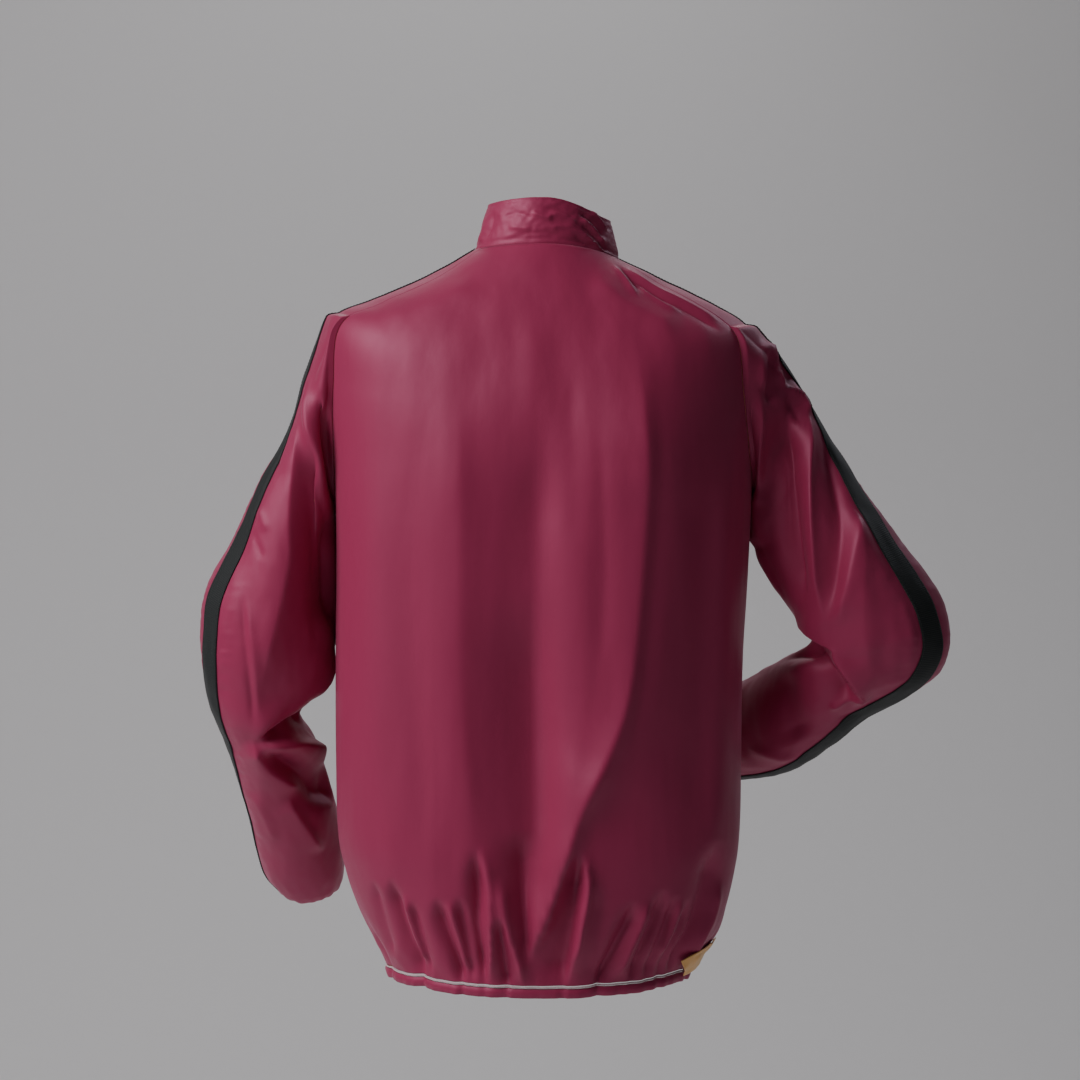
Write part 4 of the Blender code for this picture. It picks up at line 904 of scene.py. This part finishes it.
# ------------------------------------------------------------------ sleeves
def theta_at_depth(row, y):
    """The angle on the shoulder at which the surface lies y behind the top line."""
    s = section_at(BODY, row)
    share = (abs(y) / (s.back if y > 0 else s.front)) ** (s.power / 2)
    return 90 - math.copysign(math.degrees(math.asin(share)), y)


def saddle_angles(seam, side):
    """The columns of the shoulder strip, from its back seam over the tape to its front seam."""
    if seam.row == 0.0:
        return np.array(NECK_TOP, float)
    back = getattr(seam, "back_" + side)
    tape = [theta_at_depth(seam.row, TAPE_BACK + TAPE_HALF * k) for k in (1, 0, -1)]
    return np.array([back, (back + tape[0]) / 2, *tape, (180 - back + tape[2]) / 2, 180 - back])


def saddle_grid(side):
    """The shoulder strip's points from the neck to the armhole."""
    cells = sizes().sleeve_fineness
    down = refine([saddle_angles(seam, side) for seam in SADDLE], cells)
    angle = refine(down.T, cells).T
    row = seam_stations(SADDLE, side, cells)[:, 1:]
    return body_surface(SIDES[side] * angle, np.repeat(row, angle.shape[1], axis=1))


def armhole_ring(side):
    """The closed loop where the sleeve leaves the body, from the underarm round by the back."""
    cells = sizes().sleeve_fineness
    back_angle, back_row = seam_stations(ARMHOLE, side, cells)[::-1].T
    top = refine(saddle_angles(SADDLE[-1], side), cells)
    angle = np.concatenate([back_angle[:-1], top, 180 - back_angle[::-1][1:-1]])
    row = np.concatenate([back_row[:-1], np.full(len(top), ARMHOLE[0].row), back_row[::-1][1:-1]])
    return body_surface(SIDES[side] * angle, row)


def cap_ring(loop, side):
    """The armhole's loop, moved out to where the sleeve starts to hang."""
    turn = np.linspace(0, TURN, len(loop), endpoint=False)
    foot, top = smooth_step(np.cos(turn)), smooth_step(-np.cos(turn))
    out, down = (foot * f + top * t + (1 - foot - top) * s
                 for f, t, s in zip(CAP_FOOT, CAP_TOP, CAP_SIDE))
    return loop + np.stack([SIDES[side] * out, 0 * down, -down], axis=-1)


def climb_shares(loop):
    """How far round the armhole each column lies, judged by its height, to the tape's edges."""
    first, last = (station * sizes().sleeve_fineness for station in TUBE_TAPE)
    height = loop[:, 2]
    foot, top = height[0], height.max()
    turn = np.degrees(np.arccos(np.clip(1 - 2 * (height - foot) / (top - foot), -1, 1)))
    back, front = turn[:first + 1], np.concatenate([turn[last:], turn[:1]])
    return back / back[-1], front / front[0]


def sleeve_ring(ring, tangent, shares, kept):
    """One section of the tube. The tape keeps its own columns, and near the armhole the other
    columns keep a share of their places there."""
    cells = sizes().sleeve_fineness
    outer = np.array([ring.out_x, ring.y, ring.out_z], float)
    inner = np.array([ring.in_x, ring.y, ring.in_z], float)
    middle, axis = (outer + inner) / 2, (outer - inner) / 2
    way = unit(tangent)
    depth = unit(np.array([0, 1.0, 0]) - way * way[1]) * ring.deep
    half_turn = math.degrees(TAPE_HALF / ((np.linalg.norm(axis) + ring.deep) / 2))
    tape = 180 - ring.turn
    even = np.linspace(0, 1, TUBE_TAPE[0] * cells + 1)
    back = (even + (shares[0] - even) * kept) * (tape - half_turn)
    front = 360 - (even[::-1] + (shares[1] - even[::-1]) * kept) * (360 - tape - half_turn)
    columns = (TUBE_TAPE[1] - TUBE_TAPE[0]) * cells + 1
    over = np.linspace(tape - half_turn, tape + half_turn, columns)
    a = np.radians(np.concatenate([back, over[1:-1], front[:-1]]))[:, None]
    return middle - axis * np.cos(a) + depth * np.sin(a)


def sleeve_tube(side):
    """The tube's points from the armhole to the cuff, in closed rows."""
    table = [Ring(*row) for row in (SLEEVE_LEFT if side == "left" else SLEEVE_RIGHT)]
    middles = np.array([[(r.out_x + r.in_x) / 2, r.y, (r.out_z + r.in_z) / 2] for r in table])
    tangents = np.gradient(middles, axis=0)
    kept = np.clip(1 - np.arange(1, len(table) + 1) / KEPT_RINGS, 0, 1)
    loop = armhole_ring(side)
    shares = climb_shares(loop)
    rings = [loop, cap_ring(loop, side)]
    rings += [sleeve_ring(r, t, shares, k) for r, t, k in zip(table, tangents, kept)]
    hanging = read_rows(np.array(rings), np.linspace(1, len(rings) - 1, sizes().sleeve_rows))
    return crease_tube(np.concatenate([cap_stretch(*rings[:3]), hanging]), side)


def cap_stretch(loop, cap, below):
    """The rows from the armhole to the cap, curved so that no lip stands beside the seam."""
    start, end = cap - loop, unit(below - loop)
    end = end * np.linalg.norm(start, axis=-1, keepdims=True)
    t = np.linspace(0, 1, CAP_ROWS + 1)[:-1, None, None]
    return loop + start * (smooth_step(t) + t * (1 - t) ** 2) + end * t * t * (t - 1)


def crease_tube(tube, side):
    """Presses the sleeve's folds, the cuff's gathers and small crinkles into a plain tube."""
    across = np.roll(tube, -1, axis=1) - np.roll(tube, 1, axis=1)
    normal = SIDES[side] * unit(np.cross(across, np.gradient(tube, axis=0)))
    rows, columns = tube.shape[:2]
    cells = sizes().sleeve_fineness
    turn = np.linspace(0, TURN, columns, endpoint=False)
    facing = np.sin(turn)[None, :]
    beside = np.abs(np.arange(columns) - sum(TUBE_TAPE) / 2 * cells)[None, :] / cells
    off_tape = 0.35 + 0.65 * smooth_step((beside - 0.5) / 1.3)
    height = np.zeros((rows, columns))
    for fold in SLEEVE_FOLDS[side]:
        seen = smooth_step(np.maximum(facing * fold.face, 0) * 3.6) * off_tape if fold.face else 1
        height += fold_height(fold, tube[..., 0], tube[..., 2]) * seen
    step = np.linalg.norm(np.diff(tube, axis=0), axis=-1).mean(axis=1)
    length = np.concatenate([[0], np.cumsum(step)])[:, None]
    cuff = np.exp(-((length[-1] - length - CUFF_MIDDLE) / CUFF_WIDTH) ** 2)
    pucker = smooth_step((beside - 1) / 0.6) * (1 - smooth_step((beside - 1.3) / 1.6))
    for wave, seed, rise in (((45, 45, 5.5), 5.7, 0.9 * pucker), ((24, 24, 60), 1.9, 1.2),
                             ((10, 10, 18), 6.3, 0.45), ((9, 9, 14), 2.2, 0.8 * cuff)):
        height += crinkle(tube, wave, seed) * rise
    height += cuff * 0.3 * np.sin(turn * 17 + 0.6 * np.sin(turn * 5))
    return tube + normal * (height * smooth_step(length / SLEEVE_RISE))[..., None]


def turned_under(tube):
    """The cuff's cloth turned back inside: rows that go in and up from the last one."""
    middle = tube[-1].mean(axis=0)
    back = unit(tube[-9].mean(axis=0) - middle)
    rows = [tube[-1] + unit(middle - tube[-1]) * inward + back * up for inward, up in CUFF_TURN]
    return np.concatenate([tube, np.array(rows)])


def sleeve_cloth(side):
    """A whole sleeve's points, quads and map, then its plain shoulder strip and tube."""
    cells, seam = sizes().sleeve_fineness, sizes().seam / MM
    plain_strip, plain_tube = saddle_grid(side), sleeve_tube(side)
    strip, tube = pull_in(plain_strip, ("top", "first", "last"), seam), plain_tube.copy()
    rings = np.concatenate([tube[:2, -1:], tube[:2], tube[:2, :1]], axis=1)
    tube[0] = pull_in(rings, ("top",), seam)[0][1:-1]
    width, first = strip.shape[1], ARM_STATIONS * cells
    tube[0][first:first + width] = strip[-1]
    tube, strip_length = turned_under(tube), grid_length(strip)
    strip = strip[:-1]
    points = np.vstack([strip.reshape(-1, 3), tube.reshape(-1, 3)])
    base = len(strip) * width
    a = base - width + np.arange(width - 1)
    d = base + first + np.arange(width - 1)
    faces = np.vstack([grid_faces(len(strip), width), np.stack([a, a + 1, d + 1, d], axis=-1),
                       grid_faces(len(tube), tube.shape[1], True, base)])
    uv = np.vstack([(grid_map(strip) - [0, strip_length]).reshape(-1, 2),
                    grid_map(tube).reshape(-1, 2)])
    return points, faces[:, ::SIDES[side]], uv, plain_strip, plain_tube


def grid_length(grid):
    """The mean length down a grid, in metres."""
    return np.linalg.norm(np.diff(grid, axis=0), axis=-1).mean(axis=1).sum() * MM


def tape_grid(strip, tube):
    """The tape's own points: the sleeve's columns between the tape's edges."""
    cells = sizes().sleeve_fineness
    return np.concatenate([grid[:, first * cells:last * cells + 1] for grid, (first, last) in
                           ((strip[:-1], STRIP_TAPE), (tube[:-6], TUBE_TAPE))])


def lifted(grid, height):
    """Moves a sheet of points out along its own normals."""
    return grid + unit(np.cross(np.gradient(grid, axis=1), np.gradient(grid, axis=0))) * height


# ------------------------------------------------------------------ things that repeat
def along_lines(name, lines, spacing, shape, finish, up=(0, 0, 1)):
    """Copies of a small shape along lines, made by Geometry Nodes and turned into a mesh."""
    path = bpy.data.meshes.new(name + "_path")
    starts = np.cumsum([0] + [len(line) for line in lines])
    edges = [(a + i, a + i + 1) for a, line in zip(starts, lines) for i in range(len(line) - 1)]
    path.from_pydata((np.vstack(lines) * MM).tolist(), edges, [])
    piece = placed(name, path)
    tree = bpy.data.node_groups.new(name + " row", "GeometryNodeTree")
    tree.is_modifier = True
    tree.interface.new_socket("Path", in_out="INPUT", socket_type="NodeSocketGeometry")
    gap = tree.interface.new_socket("Spacing", in_out="INPUT", socket_type="NodeSocketFloat")
    tree.interface.new_socket("Row", in_out="OUTPUT", socket_type="NodeSocketGeometry")
    given = tree.nodes.new("NodeGroupInput").outputs

    def node(kind, settings=None, **values):
        return add_node(tree, kind, settings, values)

    curve = node("GeometryNodeMeshToCurve", Mesh=Socket(tree, given["Path"]))
    points = node("GeometryNodeResampleCurve", {"mode": "LENGTH"}, Curve=curve,
                  Length=Socket(tree, given["Spacing"]))
    along = node("FunctionNodeAlignRotationToVector", {"axis": "X"},
                 Vector=node("GeometryNodeInputTangent"))
    upright = node("FunctionNodeAlignRotationToVector", {"axis": "Z", "pivot_axis": "X"},
                   Rotation=along, Vector=up)
    one = add_node(tree, "GeometryNodeObjectInfo", None, {"Object": shape}, "Geometry")
    copies = node("GeometryNodeInstanceOnPoints", Points=points, Rotation=upright, Instance=one)
    real = node("GeometryNodeRealizeInstances", Geometry=copies)
    node("NodeGroupOutput", Row=node("GeometryNodeSetMaterial", Geometry=real,
                                     Material=finish_named(finish)))
    row = piece.modifiers.new("Row", "NODES")
    row.node_group = tree
    row[gap.identifier] = spacing
    plain_mesh(piece)
    piece.data.materials.clear()
    piece.data.materials.append(finish_named(finish))
    piece.data.shade_smooth()
    bpy.data.objects.remove(shape)
    return piece


def small_shape(name, size, rounding):
    """One stitch or one tooth, made at the origin."""
    shape = bmesh.new()
    bmesh.ops.create_cube(shape, size=1)
    for corner in shape.verts:
        corner.co = Vector(c * s * MM for c, s in zip(corner.co, size))
    bmesh.ops.bevel(shape, geom=list(shape.edges), offset=rounding * MM, segments=1, affect="EDGES")
    mesh = bpy.data.meshes.new(name)
    shape.to_mesh(mesh)
    shape.free()
    return placed(name, mesh)


# ------------------------------------------------------------------ operators
class MakeBody(bpy.types.Operator):
    """The back panel and the two fronts"""
    bl_idname = "jacket.make_body"
    bl_label = "Body panels"

    def execute(self, context):
        for name, grid in body_grids().items():
            grid = pull_in(grid, EDGES, sizes().seam / MM)
            piece = sewn_sheet(f"{name}_cloth", grid, name, SHELL, sizes().cloth)
        return {"FINISHED"}


class MakeSleeves(bpy.types.Operator):
    """Both saddle-shoulder sleeves, and the tape down each"""
    bl_idname = "jacket.make_sleeves"
    bl_label = "Sleeves and tapes"

    def execute(self, context):
        for side in SIDES:
            points, faces, uv, strip, tube = sleeve_cloth(side)
            piece = new_piece(f"sleeve_{side}_cloth", points, faces, uv, SHELL)
            give_wall(piece, sizes().cloth)
            sew(piece, f"sleeve_{side}")
            self.make_tape(side, tape_grid(strip, tube), piece)
        return {"FINISHED"}

    def make_tape(self, side, grid, sleeve):
        """A tape down the sleeve, with a row of stitches along each edge."""
        grid = lifted(grid, SIDES[side] * sizes().tape_lift / MM)
        grid = pull_in(grid, ("top",), sizes().seam / MM)
        tape = sewn_sheet(f"tape_{side}_band", grid, f"tape_{side}",
                          ("Black sleeve tape",), TAPE_THICK * MM, outward=True,
                          turned=side == "right")
        outer = lifted(grid, SIDES[side] * TAPE_TOP)
        stitch = small_shape("stitch", (2.1, 0.5, 0.45), 0.14)
        seams = along_lines(f"tape_{side}_stitches", [outer[:, 1], outer[:, -2]], sizes().stitch,
                            stitch, "Tape thread")
        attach(seams, "jacket")


class MakeCollar(bpy.types.Operator):
    """The stand collar, open at the zip"""
    bl_idname = "jacket.make_collar"
    bl_label = "Collar"

    def execute(self, context):
        rows = [self.collar_row(row) for row in np.linspace(3, 0, 31)]
        rows.append(rows[-1] - [0, 0, 1.2])
        grid = pull_in(np.array(rows), ("first", "last"), sizes().seam / MM)
        piece = sewn_sheet("collar_cloth", grid, "collar", SHELL,
                           sizes().cloth * 1.5)
        return {"FINISHED"}

    def half_angles(self, row, side):
        """The angles of half a row, from the centre back to the zip."""
        cells = sizes().fineness
        steps = NECK_STATIONS * cells + 1
        edge = abs(float(zip_angle(COLLAR, row, side)))
        return np.concatenate([np.linspace(0, NECK_TOP[0], steps)[:-1], refine(NECK_TOP, cells),
                               np.linspace(NECK_TOP[-1], edge, steps)[1:]])

    def collar_row(self, row):
        """One row round the neck, with its dents and the rolls at its top and its foot."""
        right, left = self.half_angles(row, "right"), self.half_angles(row, "left")
        angle = np.concatenate([-right[:0:-1], left])
        at, turn = np.full(len(angle), row), 2 + 0.4 * row
        base = ring_point(COLLAR, angle, at, turn)
        x, y, z = base.T
        height = np.zeros(len(angle))
        for fold in COLLAR_FOLDS:
            seen = (np.sign(y) == fold.face) * smooth_step(np.abs(y) / 14)
            height += fold_height(fold, x, z) * seen
        height += crinkle(base, (13, 13, 8), 4.4) * 0.4 + crinkle(base, (6, 6, 4), 7.7) * 0.36
        for rise, roll_row, spread in (0.9, 0.28, 0.16), (0.5, 2.8, 0.12):
            height += rise * math.exp(-((row - roll_row) / spread) ** 2)
        height = height * smooth_step(row / 0.2) + 0.7 * (1 - smooth_step(row / 0.12))
        return base + surface_normals(COLLAR, angle, at, turn) * height[:, None]


class MakeHem(bpy.types.Operator):
    """The drawn hem casing, its piping and the turned-up corner"""
    bl_idname = "jacket.make_hem"
    bl_label = "Hem"

    def execute(self, context):
        line = hem_line(body_grids())
        out = unit(np.cross(np.gradient(line, axis=0), [0, 0, -1.0]))
        self.make_piping(line, out)
        self.make_casing(line, out)
        self.make_corner()
        return {"FINISHED"}

    def make_casing(self, line, out):
        """The drawn casing under the piping, rippled by its elastic."""
        top, foot = 2 * PIPING_RADIUS + 0.5, 2 * PIPING_RADIUS + BAND_HEIGHT
        ripple = crinkle(line, (7, 7, 40), 9.1)
        rows = []
        for share in np.linspace(0, 1, 12):
            drop = top + (foot - top) * share
            bulge = 1.3 * math.sin(math.pi * share) + ripple * 0.9 * (0.3 + share)
            rows.append(line - [0, 0, drop] + out * np.reshape(bulge - 0.4, (-1, 1)))
        grid = pull_in(np.array(rows), ("first", "last"), 0.5)
        piece = sewn_sheet("hem_casing", grid, "hem_band", SHELL,
                           sizes().cloth * 1.4)

    def make_piping(self, line, out):
        """A cord with closed ends, let into the hem seam."""
        sides, radius = 8, PIPING_RADIUS * 0.85
        around = np.linspace(0, TURN, sides, endpoint=False)[None, :, None]
        ring = out[:, None] * np.cos(around) + np.array([0, 0, 1.0]) * np.sin(around)
        middle = line - [0, 0, PIPING_RADIUS + 0.35] + out * 0.1
        tube = middle[:, None] + ring * radius
        last = (len(tube) - 1) * sides
        caps = [list(range(sides))[::-1], list(range(last, last + sides))]
        piece = new_piece("piping_cord", tube, grid_faces(len(tube), sides, True).tolist() + caps,
                          grid_map(tube.transpose(1, 0, 2)).transpose(1, 0, 2), ("Pale piping",))
        sew(piece, "hem_piping")

    def make_corner(self):
        """The corner of the hem, folded outward so that the reverse shows."""
        rows = read_rows(CORNER, np.linspace(0, 3, 22)).swapaxes(0, 1)
        grid = read_rows(rows, np.linspace(0, 4, 33)).swapaxes(0, 1)[:, ::-1]
        free = np.linspace(1, 0, len(grid))[:, None]
        grid = lifted(grid, (crinkle(grid, (9, 9, 8), 5.2) * (0.4 + 1.4 * free))[..., None])
        piece = sewn_sheet("turned_corner", grid, "hem_turnup", SHELL[::-1],
                           sizes().cloth, outward=True)


class MakeZip(bpy.types.Operator):
    """The closed front zip: its two tapes, its teeth, the slider and the pull"""
    bl_idname = "jacket.make_zip"
    bl_label = "Zip"

    def execute(self, context):
        path = self.path()
        inner, outer = TEETH_HALF - 0.6, ZIP_HALF - 0.3
        for side, ends in {"left": (outer, inner), "right": (-inner, -outer)}.items():
            grid = np.stack([path + [x, 0.8, 0] for x in np.linspace(*ends, 5)], axis=1)
            sewn_sheet(f"zip_tape_{side}_cloth", grid, f"zip_tape_{side}",
                       ("Zip tape",), 0.7 * MM)
        tooth = small_shape("tooth", (1.2, 1.5, 3.4), 0.25)
        teeth = along_lines("zip_teeth_row", [path + [0, 0.5, 0]], sizes().tooth, tooth,
                            "Zip metal", up=(1, 0, 0))
        sew(teeth, "zip_teeth")
        for name in ("zip_slider", "zip_pull"):
            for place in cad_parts[name].material_slots:
                place.material = finish_named("Zip metal")
        return {"FINISHED"}

    def path(self):
        """The middle line of the zip, from the top of the collar down to the hem."""
        collar = ring_point(COLLAR, np.full(25, 180.0), np.linspace(3, 0, 25))
        body = ring_point(BODY, np.full(220, 180.0), np.linspace(0, HEM_ROW, 221)[1:])
        path = np.vstack([collar, body])
        path[:, 0] = 0
        path[-1, 2] -= BAND_HEIGHT
        return path


class MakeStage(bpy.types.Operator):
    """The pale floor and sweep, the soft lights and the camera"""
    bl_idname = "jacket.make_stage"
    bl_label = "Studio"

    def execute(self, context):
        self.make_sweep()
        self.make_lights(context.scene)
        self.make_camera(context.scene)
        return {"FINISHED"}

    def make_sweep(self):
        """A paper sweep: a wide floor that curves up into the wall the camera faces."""
        front, end, floor, radius, half_width = 6.0, -1.7, -1.5, 1.5, 7.0
        profile = [(front, floor), (end, floor)]
        profile += [(end - radius * math.sin(a), floor + radius - radius * math.cos(a))
                    for a in np.linspace(0.08, math.pi / 2, 20)]
        profile += [(end - radius, 5.0)]
        grid = np.array([[(x, y, z) for x in (-half_width, half_width)] for y, z in profile]) / MM
        sweep = new_piece("paper_sweep", grid, grid_faces(*grid.shape[:2]), grid_map(grid),
                          ("Studio paper",))

    def make_lights(self, scene):
        """A large soft key from the left, a small rim light and two weak fills."""
        world = bpy.data.worlds.new("Studio air")
        world.use_nodes = True
        air = world.node_tree.nodes["Background"].inputs
        air["Color"].default_value = (0.8, 0.82, 0.86, 1)
        air["Strength"].default_value = 0.04
        scene.world = world
        lamps = [
            ("Key softbox", (2.5, 1.4, 1.75), (0, 0, -0.33), (2.6, 2.0), 1, (1.0, 0.96, 0.98)),
            ("Rim softbox", (-1.7, -1.5, 1.5), (0, 0, -0.2), (0.7, 0.7), 0.07, (0.86, 0.88, 1.0)),
            ("Right fill", (-2.2, 1.9, 0.2), (0, 0, -0.33), (1.2, 1.2), 0.012, (0.95, 0.97, 1.0)),
            ("Front fill", (0, -2.6, 2.2), (0, 0, -0.3), (1.5, 1.5), 0.2, (1.0, 0.99, 0.98)),
        ]
        for name, place, aim, size, share, tint in lamps:
            light = bpy.data.lights.new(name, "AREA")
            light.shape = "RECTANGLE"
            light.size, light.size_y = size
            light.energy, light.color = colours().key_power * share, tint
            lamp = placed(name, light)
            lamp.location = place
            lamp.rotation_euler = (Vector(aim) - Vector(place)).to_track_quat("-Z", "Y").to_euler()
            lamp.visible_camera = False

    def make_camera(self, scene):
        """A level camera behind the jacket, at the photograph's distance and scale."""
        data = bpy.data.cameras.new("Photo camera")
        data.sensor_width = 36.0
        data.lens = data.sensor_width * CAMERA_AWAY / (PHOTO_SIDE * PIXEL)
        camera = placed("Photo camera", data)
        camera.location = (0.003, CAMERA_AWAY, CAMERA_HEIGHT)
        camera.rotation_euler = (math.pi / 2, 0, math.pi)
        scene.camera = camera


class JACKET_PT_pieces(bpy.types.Panel):
    bl_label = "Windbreaker"
    bl_idname = "JACKET_PT_pieces"
    bl_space_type = "VIEW_3D"
    bl_region_type = "UI"
    bl_category = "Windbreaker"

    def draw(self, context):
        for group in (sizes(), colours()):
            box = self.layout.box()
            for name in group.__annotations__:
                box.prop(group, name)
        for maker in MAKERS:
            self.layout.operator(maker.bl_idname)


MAKERS = (MakeBody, MakeSleeves, MakeCollar, MakeHem, MakeZip, MakeStage)
CLASSES = (JacketSizes, JacketColours, *MAKERS, JACKET_PT_pieces)


def register():
    for item in CLASSES:
        bpy.utils.register_class(item)
    bpy.types.Scene.jacket_sizes = PointerProperty(type=JacketSizes)
    bpy.types.Scene.jacket_colours = PointerProperty(type=JacketColours)


def unregister():
    del bpy.types.Scene.jacket_colours
    del bpy.types.Scene.jacket_sizes
    for item in reversed(CLASSES):
        bpy.utils.unregister_class(item)


def main():
    register()
    bpy.ops.jacket.make_body()
    bpy.ops.jacket.make_sleeves()
    bpy.ops.jacket.make_collar()
    bpy.ops.jacket.make_hem()
    bpy.ops.jacket.make_zip()
    bpy.ops.jacket.make_stage()


if __name__ == "__main__":
    main()
